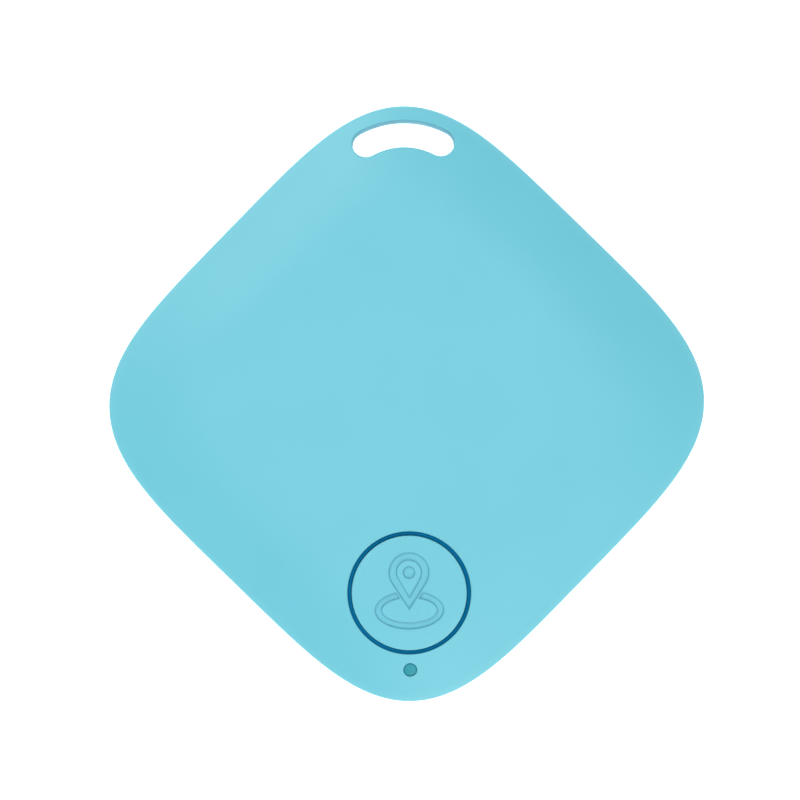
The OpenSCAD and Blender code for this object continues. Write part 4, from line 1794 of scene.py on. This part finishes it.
FOAM = Foam("Polyurethane_foam_grey", "#4a5058", 0.95, "#24272c")
HOLDER_PLASTIC = Moulded("Nylon_moulded_black", "#23272b", 0.6, "#2f3439")
SWITCH_PLASTIC = Moulded("LCP_moulded_black", "#1b1d20", 0.5, "#26292d", grain=0.08)
PLUNGER_PLASTIC = Moulded("Nylon_moulded_charcoal", "#2b2e33", 0.45, "#3a3e44", grain=0.08)
GASKET_PLASTIC = Moulded("Polypropylene_grey", "#3b3f45", 0.5, "#4a4f56", grain=0.1)
LAMP_RESIN = ClearPlastic("Silicone_lens_warm_white", "#f2efe2", 0.3, "#e6dcae")
LAMP_BODY = Grained("PPA_moulded_white", "#efeee8", 0.5, "#d9d7cc", grain=0.06, depth=0.002)
LAMINATE = SolderMask("Glass_epoxy_green_mask", "#14603a", 0.42, "#0d482a", (("IOR", 1.45),))
TRACK_MASK = SolderMask("Copper_under_green_mask", "#2b8450", 0.4, "#226f42", (("IOR", 1.45),))
GOLD_PLATE = Metal("Copper_gold_plated", "#d9b45a", 0.3, "#c79c46")
TIN_PLATE = Metal("Solder_tinned", "#cfd2d4", 0.32, "#aeb2b6")
SCREW_STEEL = Metal("Steel_zinc_plated", "#c4c7ca", 0.35, "#9ea3a8", line=0.08)
BRONZE = Metal("Phosphor_bronze_strip", "#c9b458", 0.34, "#b08f45", working=Working.ROLLED)
SWITCH_STEEL = Metal("Steel_stainless_strip", "#c4c7ca", 0.3, "#a5a9ad", working=Working.ROLLED)
CRYSTAL_LID = Metal("Kovar_nickel_plated", "#b9bcc0", 0.28, "#9c9fa4", working=Working.ROLLED)
CRYSTAL_GOLD = Metal("Kovar_gold_plated", "#c8b27a", 0.3, "#ad9660", working=Working.ROLLED)
ENAMEL_COPPER = Metal("Copper_enamelled", "#a8622d", 0.25, "#7e431c", line=0.06)
BUZZER_BRASS = Metal("Brass_rolled_sheet", "#c9a24a", 0.36, "#a8813a", working=Working.ROLLED)
CELL_STEEL = Metal(
    "Steel_nickel_plated",
    "#c4c7ca",
    0.3,
    "#a2a6aa",
    working=Working.TURNED,
    line=0.06,
    centre=(0, 2),
    depth=0.0005,
)
LITHIUM = Metal("Lithium_rolled_foil", "#a9adb2", 0.5, "#7f848a", working=Working.ROLLED, line=0.3)
CHIP_RESIN = Grained("Epoxy_moulded_black", "#202225", 0.65, "#33363a", grain=0.07, depth=0.004)
FERRITE = Grained("Ferrite_sintered", "#2e3033", 0.6, "#45484c", grain=0.09, depth=0.005)
ALUMINA = Grained("Alumina_fired_white", "#dfe3e0", 0.45, "#c3cac6", grain=0.1)
CAPACITOR = Grained("Titanate_fired_tan", "#b89a6a", 0.42, "#93784c", grain=0.05, depth=0.003)
RESISTOR_FILM = Grained("Glass_film_black", "#26292c", 0.25, "#3b3f44", grain=0.06, depth=0.002)
PIEZO = Grained("Piezo_ceramic_silvered", "#d8d6cf", 0.5, "#b5b2a8", grain=0.14, depth=0.004)
TAPE_FILM = Grained("Acrylic_tape_cream", "#e9e4d2", 0.7, "#d3cbb0", grain=0.3, depth=0.006)
CATHODE = Grained("Manganese_oxide_pressed", "#2a2a2c", 0.9, "#4b4b4f", grain=0.15, depth=0.03)
SEPARATOR = Foam("Polypropylene_fleece_white", "#f0f0ec", 0.9, "#c9c9c2", cell=0.2)
WIRE_RED = Rubber("PVC_lead_red", "#b3282d", 0.4, "#93191f", speck=0.3)
WIRE_BLACK = Rubber("PVC_lead_black", "#1c1c1e", 0.4, "#2b2b2f", speck=0.3)


# ---- Cell seat ----


@dataclass
class CellSeat:
    """What holds the cell: foam behind it, a ring round it and the two contacts."""

    bench: Bench
    y: float = 2.0
    pad_crown: float = 0.04
    holder: Pair = (10.25, 11.05)
    holder_arcs: tuple[Pair, ...] = ((108, 155), (205, 432))
    peg_radius: float = 0.5
    peg_circle: float = 10.65
    blade: float = 0.2
    foot_reach: float = 2.15
    hub_radius: float = 1.8
    sheet: float = 0.15
    finger_width: float = 1.4

    def build_pad(self) -> None:
        """Builds the foam pad, crowned a little, with its edge pulled in by the die."""
        (_, _, z), (radius, _, top) = extent("cell_pad")
        rows = [(0, z), (radius - 0.05, z), (radius, z + 0.04), (radius - 0.05, z + 0.15)]
        rows += [(radius, top - 0.09), (radius - 0.08, top - self.pad_crown)]
        rows += [(radius * k / 6, top - self.pad_crown * (k / 6) ** 2) for k in range(5, -1, -1)]
        mesh = turned(rows, (0, self.y), 120)
        fit("cell_foam_pad", [mesh], "foam", FOAM, "cell_pad", "rear")

    def build_holder(self) -> None:
        """Builds the ring with its two gaps, and the pegs that go through the board."""
        (low, high), (board, _) = heights("cell_holder"), heights("circuit_board")
        inner, outer = self.holder
        section = eased(box((inner, low), (outer, board)), 0.12)
        parts = [turned(section, (0, self.y), 144, arc) for arc in self.holder_arcs]
        peg = turned(eased(box((0, board - 0.5), (self.peg_radius, high)), 0.1), count=24)
        places = [(x, y, 0) for x, y in quarters(self.peg_circle, self.y)]
        parts.append(self.bench.spread(peg, HOLDER_PLASTIC, places))
        fit("cell_holder_ring", parts, "holder_plastic", HOLDER_PLASTIC, "cell_holder")

    def build_contacts(self) -> None:
        """Builds the blade at the side of the cell and the three fingers over its cap."""
        low, high = heights("positive_contact")
        inner, outer = self.holder[0] - self.blade, self.holder[0]
        blade = box((inner, low), (outer, high))
        foot = box((inner, high - self.blade), (inner + self.foot_reach, high))
        parts = [
            turned(eased(blade, 0.06), (0, self.y), 288, (75, 105)),
            turned(eased(foot, 0.06), (0, self.y), 288, (81, 99)),
        ]
        fit("positive_contact_blade", parts, "contact_bronze", BRONZE, "positive_contact")
        (low, top), thick = heights("negative_contact"), self.sheet
        hub = box((0, top - thick), (self.hub_radius, top))
        under = [(1, top - thick), (2, top - 0.19), (3.6, low + 0.1), (5.2, low), (6, low + 0.06)]
        over = [(6, low + 0.06 + thick), (5.2, low + thick), (1.8, top), (1, top)]
        finger = bar(under + over, self.finger_width / 2)
        parts = [
            turned(eased(hub, 0.05), (0, self.y), 64),
            self.bench.spread(finger, BRONZE, [(0, self.y, 0)] * 3, (30, 150, 270)),
        ]
        fit("negative_contact_spring", parts, "contact_bronze", BRONZE, "negative_contact")


# ---- Circuit board ----


@dataclass
class Board:
    """The circuit board: laminate with its holes, copper tracks, a fence of vias and screws."""

    form: CaseForm
    bench: Bench
    margin: float = 3.2
    screw: Pair = (12.9, 2.0)
    peg: Pair = (9.2, -9.2)
    hole: float = 0.8
    holder_hole: float = 0.52
    holder_circle: float = 10.65
    holder_y: float = 2.0
    fence_inset: float = 0.55
    fence_pitch: float = 1.25
    via: Pair = (0.12, 0.22)
    copper: float = 0.02
    head_radius: float = 1.25
    head_height: float = 0.6
    shank_radius: float = 0.68
    thread: float = 0.35

    def outline(self, inset: float) -> Loop:
        """Outline of the board, cut off straight beside the keyring slot."""
        cut = extent("circuit_board")[1][1]
        rows = self.form.loop(self.margin + inset, 192)
        return tidy(np.c_[rows[:, 0], np.minimum(rows[:, 1], cut - inset)])

    def holes(self) -> list[Loop]:
        """Outlines of the holes for screws, pegs and the pegs of the holder."""
        spots = [(side * x, y) for x, y in (self.screw, self.peg) for side in (-1, 1)]
        loops = [circle(self.hole, 32, y, x) for x, y in spots]
        pegs = quarters(self.holder_circle, self.holder_y)
        return loops + [circle(self.holder_hole, 24, y, x) for x, y in pegs]

    def build(self) -> None:
        """Builds the laminate, its vias and its tracks on both faces."""
        low, high = heights("circuit_board")
        slab = plate(self.form, self.outline, self.holes(), (low, high))
        name, crease = "circuit_board", 15.0
        fit(f"{name}_laminate", [slab], "board_laminate", LAMINATE, name, crease=crease)
        inner, outer = self.via
        ring = turned(box((inner, low - self.copper), (outer, high + self.copper)), count=14)
        path = [(x, y, 0) for x, y in self.outline(self.fence_inset)]
        vias = self.bench.spread(ring, GOLD_PLATE, path, pitch=self.fence_pitch)
        fit("board_vias", [vias], "contact_bronze", GOLD_PLATE)
        self.build_tracks(low, high)

    def build_tracks(self, low: float, high: float) -> None:
        """Builds the tracks on the board's two faces.

        Args:
            low: Height of the lower face.
            high: Height of the upper face.
        """
        far = (3.6, 12.4)
        shown = [
            [(-2.2, -3.4), (-2.2, -1), (-1.2, 0), (9.6, 0), (10.6, -1), (12.4, -1)],
            [(12.4, -1), (12.4, -4.4), (13.4, -5.4), (14.6, -5.4)],
            [(-1.9, -5), (-0.2, -5), (0.6, -5.8), (0.6, -8.6), (1.6, -9.6), (1.6, -12.6)],
            [(-7.1, -4.4), (-8.2, -3.6)],
            [(-5.4, -8.6), (-5.4, -9.7)],
            [(-6.8, -8.6), (-7.4, -9.2), (-7.4, -9.8)],
            [(-3.4, -8.6), (-3.4, -11.2), (-2.4, -12.4), (-2.4, -13)],
            [(6.5, -6), (8.6, -6)],
            [(9.9, -4), (9, -3.1), (5, -3.1), (4.3, -3.7)],
            [(2.4, -3.6), (2.4, -1.6), (1.8, -1)],
            [(-4.5, -3.4), (-4.5, -1.4), (-6.2, 0.6), (-6.2, 9.8), (-3.6, 12.4), far, (6.4, 9.6)],
            [(0.8, -18.8), (3.4, -17.4), (4.2, -16.2), (4.2, -10.4), (6.2, -8.4)],
            [(-0.8, -18.8), (-3.2, -17.6), (-4.2, -16.4), (-4.2, -14.2), (-5.6, -12.6)],
        ]
        hidden = [
            [(-11.5, 6), (-7, 10.5), (0, 10.5), (6, 4.5), (6, -3), (2, -7), (2, -12)],
            [(-12.5, -1), (-9, -4.5), (-9, -7), (-5.5, -10.5), (-1, -12.5)],
            [(12.5, -1.5), (9, -5), (9, -8.5), (5.5, -12)],
        ]
        sides = ((shown, high), (hidden, low))
        paths = [[(x, y, z) for x, y in route] for routes, z in sides for route in routes]
        sizes = {"Width": 0.25 * MM, "Height": 2 * self.copper * MM, "Bend": 0.5 * MM}
        mesh = self.bench.track.make(lines(paths), TRACK_MASK, sizes)
        fit("board_tracks", [mesh], "board_laminate", TRACK_MASK)

    def build_screws(self) -> None:
        """Builds the two screws with a cross recess and a thread."""
        (low, high), ease, recess, tip = heights("board_screws"), 0.3, 0.35, 0.45
        board = low + self.head_height
        rows = [(self.head_radius - inset, low + up) for up, inset in round_edge(ease, 5)]
        rows += [(self.head_radius, board), (self.shank_radius - 0.08, board)]
        z, thin = board + 0.1, self.shank_radius - 0.09
        while z < high - tip:
            rows += [(thin, z), (self.shank_radius, z + self.thread / 2)]
            z += self.thread
        rows += [(thin, z), (0.3, high)]
        shape = marked(self.form, rows, hoop(0, 48, 0), cross(1.3, 0.3, 45), low + recess)
        places = [(side * self.screw[0], self.screw[1], 0) for side in (-1, 1)]
        mesh = self.bench.spread(shape, SCREW_STEEL, places)
        fit("board_screws_pair", [mesh], "screw_steel", SCREW_STEEL, "board_screws")


# ---- Parts on the board ----


@dataclass
class ChipParts:
    """The chips and small parts on top of the board."""

    bench: Bench
    board: float

    def build_radio(self) -> None:
        """Builds the radio chip with its legs' ends round the foot and a dot at its first one."""
        foot, size = stood("radio_chip")
        fit("radio_chip_body", [block(foot, size, 0.05)], "chip_resin", CHIP_RESIN, "radio_chip")
        top, place = foot[2] + size[2], (foot[0] - 1.8, foot[1] + 1.8)
        dot = turned(box((0, top - 0.02), (0.3, top + 0.012)), place, 24)
        fit("radio_chip_first_dot", [dot], "antenna_ceramic", ALUMINA)
        count, pitch = 9, 0.5
        row = np.array([(pitch * i - 2, 0.14 - size[1] / 2) for i in range(count)])
        round_it = np.vstack([spun(row, math.pi / 2 * k) for k in range(4)]) + foot[:2]
        places = [(x, y, foot[2]) for x, y in round_it]
        end = block((0, 0, 0), (0.26, 0.36, 0.2), 0.02)
        mesh = self.bench.spread(end, TIN_PLATE, places, np.repeat((0, 90, 180, 270), count))
        fit("radio_chip_ends", [mesh], "switch_steel", TIN_PLATE)

    def build_crystals(self) -> None:
        """Builds the two crystals: ceramic tray below, metal lid above."""
        lap, step = 0.05, 0.3
        for node, slot, finish, trim in (
            ("main_crystal", "crystal_lid", CRYSTAL_LID, 0.35),
            ("watch_crystal", "crystal_gold", CRYSTAL_GOLD, 0.5),
        ):
            foot, (width, depth, tall) = stood(node)
            tray = block(foot, (width, depth, trim), 0.05)
            size = (width - step, depth - step, tall - trim + lap)
            lid = block(foot + (0, 0, trim - lap), size, 0.09)
            fit(f"{node}_tray", [tray], "antenna_ceramic", ALUMINA)
            fit(f"{node}_lid", [lid], slot, finish, node)

    def build_antenna(self) -> None:
        """Builds the chip antenna: fired ceramic with a printed meander and plated ends."""
        foot, size = stood("chip_antenna")
        body = block(foot, size, 0.06)
        fit("chip_antenna_body", [body], "antenna_ceramic", ALUMINA, "chip_antenna")
        reach, cap = size[1] / 2 - 0.22, (size[0] + 0.03, 0.5, size[2] + 0.03)
        ends = [block(foot + (0, side * reach, -0.01), cap) for side in (-1, 1)]
        fit("chip_antenna_ends", ends, "switch_steel", TIN_PLATE)
        path, reach = [], size[0] / 2 - 0.25
        for i in range(9):
            side = reach if i % 2 else -reach
            path += [foot + (x, 0.45 * i - 1.8, size[2]) for x in (side, -side)]
        sizes = {"Width": 0.14 * MM, "Height": 0.02 * MM, "Bend": 0.05 * MM}
        mesh = self.bench.track.make(lines([path]), TIN_PLATE, sizes)
        fit("chip_antenna_meander", [mesh], "switch_steel", TIN_PLATE)

    def build_coil(self) -> None:
        """Builds the coil: two ferrite flanges and a close winding between them."""
        foot, size = stood("buzzer_coil")
        x, y, z = foot
        parts = [block((x, y, z + up), (size[0], size[1], 0.2), 0.05) for up in (0, 0.8)]
        parts.append(turned(box((0, z + 0.1), (0.9, z + 0.9)), (x, y), 32))
        fit("buzzer_coil_core", parts, "chip_resin", FERRITE)
        sizes = {"Turns": 6.0, "Core radius": 1.16 * MM, "Height": 0.45 * MM}
        sizes.update({"Wire radius": 0.05 * MM, "Place": [x * MM, y * MM, (z + 0.275) * MM]})
        wire = self.bench.wind.make(mesh_of([foot], []), ENAMEL_COPPER, sizes)
        drum = turned(box((0, z + 0.15), (1.17, z + 0.85)), (x, y), 48)
        fit("buzzer_coil_winding", [wire, drum], "coil_wire", ENAMEL_COPPER, "buzzer_coil")

    def build_transistor(self) -> None:
        """Builds the transistor with its three bent legs."""
        foot, _ = stood("driver_transistor")
        body = block(foot + (0, 0, 0.1), (2.9, 1.3, 0.85), 0.08)
        fit("driver_transistor_body", [body], "chip_resin", CHIP_RESIN, "driver_transistor")
        side = [(-0.3, 0), (0.3, 0), (0.3, 0.12), (-0.1, 0.15), (-0.2, 0.4), (-0.45, 0.4)]
        leg = bar([*side, (-0.45, 0.3), (-0.3, 0.28)], 0.2)
        places = [foot + (x, y, 0) for x, y in ((-0.95, -0.85), (0.95, -0.85), (0, 0.85))]
        mesh = self.bench.spread(leg, TIN_PLATE, places, (-90, -90, 90))
        fit("driver_transistor_legs", [mesh], "switch_steel", TIN_PLATE)

    def build_small(self) -> None:
        """Builds the rows of capacitors and resistors, each a body with two tinned ends."""
        down = (0, -1.7)
        capacitors = (((-6.3, -2.5), (1.2, 0), 4), ((-0.9, -4.2), down, 3), ((13.6, -2.2), down, 2))
        resistors = (((6.4, -8.9), (1.0, 0), 2), ((1.5, -6.2), down, 2), ((-12.4, -3.4), down, 2))
        for node, slot, finish, tall, rows in (
            ("chip_capacitors", "capacitor_ceramic", CAPACITOR, 0.5, capacitors),
            ("chip_resistors", "resistor_film", RESISTOR_FILM, 0.35, resistors),
        ):
            places = [
                (x + i * dx, y + i * dy, self.board)
                for (x, y), (dx, dy), count in rows
                for i in range(count)
            ]
            body = block((0, 0, 0.01), (0.46, 0.9, tall - 0.03), 0.03)
            fit(f"{node}_bodies", [self.bench.spread(body, finish, places)], slot, finish, node)
            ends = gathered([block((0, y, 0), (0.5, 0.25, tall), 0.05) for y in (-0.375, 0.375)])
            mesh = self.bench.spread(ends, TIN_PLATE, places)
            fit(f"{node}_ends", [mesh], "switch_steel", TIN_PLATE)

    def build_lamp(self) -> None:
        """Builds the side lamp: white body, warm lens towards the light pipe, two ends."""
        low, high = extent("indicator_led")
        y, z = high[1] - 0.35, high[2] - 0.6
        lens = block((0, low[1] + 0.15, z + 0.1), (0.8, 0.3, 0.4), 0.1)
        body = block((0, y, z), (1.1, 0.7, 0.6))
        ends = [block((x, y, z), (0.3, 0.68, 0.6)) for x in (-0.65, 0.65)]
        fit("indicator_led_lens", [lens], "lamp_resin", LAMP_RESIN, "indicator_led")
        fit("indicator_led_body", [body], "lamp_resin", LAMP_BODY)
        fit("indicator_led_ends", ends, "switch_steel", TIN_PLATE)

    def build(self) -> None:
        """Builds all of them."""
        self.build_radio()
        self.build_crystals()
        self.build_antenna()
        self.build_coil()
        self.build_transistor()
        self.build_small()
        self.build_lamp()


# ---- Switch ----


@dataclass
class Switch:
    """The snap switch under the button."""

    form: CaseForm
    bench: Bench
    y: float
    chamber: float = 1.5
    floor: float = 0.15
    cover_hole: float = 1.08
    tab: Triple = (0.1, 1.2, 0.6)
    snapped: float = 0.18

    def build(self) -> None:
        """Builds the housing, the cover, the terminals and the dome."""
        (left, _, low), (right, _, high) = extent("switch_housing")
        width, outline, slot = right - left, square(self.y, right - left), "switch_steel"
        wells = [(circle(self.chamber, 64, self.y), low + self.floor)]
        housing = plate(self.form, outline, [], (low, high), wells)
        name = "switch_housing_moulding"
        fit(name, [housing], "switch_plastic", SWITCH_PLASTIC, "switch_housing")
        _, top = heights("switch_cover")
        parts = [plate(self.form, outline, [circle(self.cover_hole, 64, self.y)], (high, top))]
        thick, _, tall = self.tab
        for side in (-1, 1):
            middle = (side * (width + thick) / 2, self.y, top - tall)
            parts.append(block(middle, self.tab, 0.03))
        fit("switch_cover_sheet", parts, slot, SWITCH_STEEL, "switch_cover")
        out, along = (width + 0.5) / 2, 1.25
        places = [(i * out, self.y + j * along, low) for i in (-1, 1) for j in (-1, 1)]
        lead = block((0, 0, 0), (0.5, 0.6, 0.12), 0.03)
        mesh = self.bench.spread(lead, TIN_PLATE, places)
        fit("switch_terminal_leads", [mesh], slot, TIN_PLATE, "switch_terminals")
        rows = [(0, 0.4), (0.6, 0.38), (1.05, 0.29), (1.35, 0.15), (1.4, 0.15), (1.4, 0.2)]
        rows += [(1.1, 0.34), (0.6, 0.43), (0, 0.45)]
        dome = turned([(r, low + z) for r, z in rows], (0, self.y), 64)
        spring = fit("switch_dome_spring", [dome], slot, SWITCH_STEEL, "switch_dome")
        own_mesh(spring)

    def build_plunger(self) -> None:
        """Builds the plunger with its foot."""
        foot, top = heights("switch_plunger")
        rows = [(0, foot), (1.25, foot), (1.25, foot + 0.1), (1, foot + 0.1), (1, top), (0, top)]
        mesh = turned(eased(rows, 0.06), (0, self.y), 64)
        name, slot = "switch_plunger_pin", "plunger_plastic"
        fit(name, [mesh], slot, PLUNGER_PLASTIC, "switch_plunger", "plunger")


# ---- Buzzer ----


def disc(
    node: str,
    slot: str,
    finish: Finish,
    ease: float,
    y: float,
    inner: float = 0.0,
    count: int = 144,
    body: str = "front",
) -> None:
    """Builds one flat disc or ring with rounded edges, as large as its CAD node.

    Args:
        node: The CAD node.
        slot: A slot name handed on to fit.
        finish: Its finish.
        ease: How far its edges are rounded.
        y: Where its middle stands.
        inner: Radius of its hole, or 0.
        count: Faces in a full turn.
        body: The body that it rides on.
    """
    (_, _, low), (radius, _, high) = extent(node)
    mesh = turned(eased(box((inner, low), (radius, high)), ease), (0, y), count)
    fit(f"{node}_disc", [mesh], slot, finish, node, body)


@dataclass
class Buzzer:
    """The sounder under the front wall: brass disc, piezo ceramic, tape and two leads."""

    bench: Bench
    board: float
    y: float = 5.2
    tape_inner: float = 5.5
    wire_radius: float = 0.2
    run_z: float = 6.42
    bend: float = 0.45
    pad_y: float = -3.85
    joints: tuple[Pair, ...] = ((2.4, 1.6), (4.2, 0.2))

    def build(self) -> None:
        """Builds the discs, the leads and the solder on their ends."""
        disc("buzzer_tape", "tape_film", TAPE_FILM, 0.02, self.y, self.tape_inner)
        disc("buzzer_plate", "buzzer_brass", BUZZER_BRASS, 0.04, self.y)
        disc("buzzer_ceramic", "buzzer_piezo", PIEZO, 0.03, self.y)
        under = [heights(node)[0] for node in ("buzzer_ceramic", "buzzer_plate")]
        solder, run = [], self.run_z
        foot = [(0, 0), (0.42, 0), (0.38, 0.06), (0.24, 0.2), (0.21, 0.3), (0, 0.3)]
        leads = zip(self.joints, under, ("red", "black"), (WIRE_RED, WIRE_BLACK))
        for (x, y), ceiling, colour, finish in leads:
            path = [(x, y, run), (x, self.pad_y, run), (x, self.pad_y, self.board)]
            sizes = {"Radius": self.wire_radius * MM, "Bend": self.bend * MM}
            mesh = self.bench.wire.make(lines([path]), finish, sizes)
            node = f"buzzer_wire_{colour}"
            fit(f"{node}_lead", [mesh], f"wire_{colour}", finish, node)
            drop = [(0, run - 0.02), (0.3, run + 0.03), (0.35, ceiling - 0.01), (0.35, ceiling)]
            solder.append(turned([*drop, (0, ceiling)], (x, y), 24))
            rows = [(r, self.board + z) for r, z in foot]
            solder.append(turned(rows, (x, self.pad_y), 24))
        fit("buzzer_solder", solder, "switch_steel", TIN_PLATE)


# ---- Cell ----


@dataclass
class Cell:
    """The coin cell and what it is made of."""

    form: CaseForm
    y: float = 2.0
    count: int = 160
    mark: Triple = (2.4, 0.45, 0.08)
    ease: float = 0.06

    def build(self) -> None:
        """Builds the can with its mark, and the rest of the cell."""
        (_, _, foot), (radius, _, _) = extent("cell_can")
        steel = ("cell_steel", CELL_STEEL)
        can = [(0.3, 0), (0.12, 0.06), (0, 0.3), (0, 2.7), (0.12, 2.93), (0.4, 3.05)]
        can += [(0.75, 3.05), (0.75, 2.8), (0.45, 2.8), (0.25, 2.55), (0.25, 0.25)]
        rows = [(radius - inset, foot + z) for inset, z in can]
        long, wide, deep = self.mark
        sign = cross(long, wide, 0, self.y)
        mesh = marked(self.form, rows, hoop(0, self.count, self.y), sign, foot + deep)
        fit("cell_can_drawn", [mesh], *steel, "cell_can", "cell")
        gasket = [(1.05, 3.05), (1.05, 2.6), (0.8, 2.6), (0.55, 2.4), (0.55, 0.35), (0.25, 0.35)]
        gasket += [(0.25, 2.55), (0.45, 2.8), (0.75, 2.8), (0.75, 3.05)]
        cap = [(10, 3.2), (10, 2.95), (1.5, 2.95), (1.3, 2.8), (1.3, 2.4), (0.8, 2.3), (0.8, 0.9)]
        cap += [(0.55, 0.9), (0.55, 2.4), (0.8, 2.6), (1.05, 2.6), (1.05, 2.9), (1.15, 3.1)]
        cap += [(1.35, 3.2)]
        for node, outline, *looks in (
            ("cell_gasket", gasket, "gasket_plastic", GASKET_PLASTIC),
            ("cell_cap", cap, *steel),
        ):
            rows = [(radius - inset, foot + z) for inset, z in outline]
            mesh = turned(rows, (0, self.y), self.count)
            fit(f"{node}_formed", [mesh], *looks, node, "cell")
        for node, *looks in (
            ("cell_cathode", "cathode_powder", CATHODE),
            ("cell_separator", "separator_cloth", SEPARATOR),
            ("cell_anode", "anode_metal", LITHIUM),
        ):
            disc(node, *looks, self.ease, self.y, count=self.count, body="cell")


# ---- Studio ----


@dataclass
class Studio:
    """A pale floor, soft white light and a camera straight above the tag."""

    distance: float = 320.0
    aim_z: float = 6.0
    view_width: float = 64.19
    sensor: float = 36.0
    roll: float = -0.75
    shift_right: float = -0.54
    shift_up: float = 0.3
    floor_gap: float = 0.02
    floor_size: float = 4000.0

    def build_floor(self) -> None:
        """Lays the floor, a sheet of white paper, just under the back of the tag."""
        half = self.floor_size / 2
        corners = box((-half, -half), (half, half))
        mesh = mesh_of([(x, y, -self.floor_gap) for x, y in corners], [(0, 1, 2, 3)])
        glow = (("Emission Color", (1, 1, 1, 1)), ("Emission Strength", 0.8))
        paper = Grained("Paper_white", "#fbfbfa", 0.85, "#f4f4f3", glow, grain=0.3, depth=0.004)
        mesh.materials.append(paper.material())
        put("floor", mesh)

    def light(self, name: str, place: Sequence[float], size: float, power: float) -> None:
        """Hangs one soft square light, turned to the tag.

        Args:
            name: Name of the light.
            place: Where it hangs, in millimetres.
            size: Its width in millimetres.
            power: Its power in watts.
        """
        lamp = bpy.data.lights.new(name, "AREA")
        lamp.size = size * MM
        lamp.energy = power
        hung = put(name, lamp)
        hung.location = Vector(place) * MM
        hung.rotation_mode = "QUATERNION"
        hung.rotation_quaternion = (-Vector(place)).to_track_quat("-Z", "Y")

    def build(self) -> None:
        """Sets up the floor, the lights, the world and the camera."""
        scene = bpy.context.scene
        self.build_floor()
        self.light("overhead", (0, 0, 700), 700, 2.1)
        self.light("low_front", (110, -320, 260), 260, 0.75)
        self.light("high_left", (-180, 280, 320), 90, 0.7)
        world = bpy.data.worlds.new("white_room")
        world.use_nodes = True
        sky = world.node_tree.nodes["Background"]
        sky.inputs["Color"].default_value = linear("#ffffff")
        sky.inputs["Strength"].default_value = 0.3
        scene.world = world
        camera = bpy.data.cameras.new("camera")
        camera.sensor_width = self.sensor
        camera.lens = self.sensor * self.distance / self.view_width
        camera.clip_start, camera.clip_end = 0.01, 20
        eye = put("camera", camera)
        turn = math.radians(self.roll)
        ((x, y),) = spun(np.array([(self.shift_right, self.shift_up)]), turn)
        eye.location = Vector((x, y, self.aim_z + self.distance)) * MM
        eye.rotation_euler = (0, 0, turn)
        scene.camera = eye
        scene.view_settings.view_transform = "Standard"


def main() -> None:
    """Builds the tag and its studio."""
    logging.basicConfig(level=logging.INFO, format="%(name)s %(message)s")
    low, high = extent("front_shell")
    form = CaseForm(corner=float(high[0]), thickness=float(high[2]), seam_z=float(low[2]))
    lift = dome_lift()
    button_y, pipe_y = (float(stood(node)[0][1]) for node in ("button_cap", "light_pipe"))
    front = FrontShell(form, lift, button_y, slot_y=form.corner - 8.53)
    front.build()
    RearCover(form, lift, front).build()
    button = Button(form, lift, button_y)
    button.build_cap()
    button.build_seal()
    LightPipe(form, lift, pipe_y).build()
    bench = Bench()
    seat = CellSeat(bench)
    seat.build_pad()
    seat.build_holder()
    seat.build_contacts()
    board = Board(form, bench)
    board.build()
    board.build_screws()
    board_top = heights("circuit_board")[1]
    ChipParts(bench, board_top).build()
    switch = Switch(form, bench, button_y)
    switch.build()
    switch.build_plunger()
    Buzzer(bench, board_top).build()
    Cell(form).build()
    Studio().build()


if __name__ == "__main__":
    main()
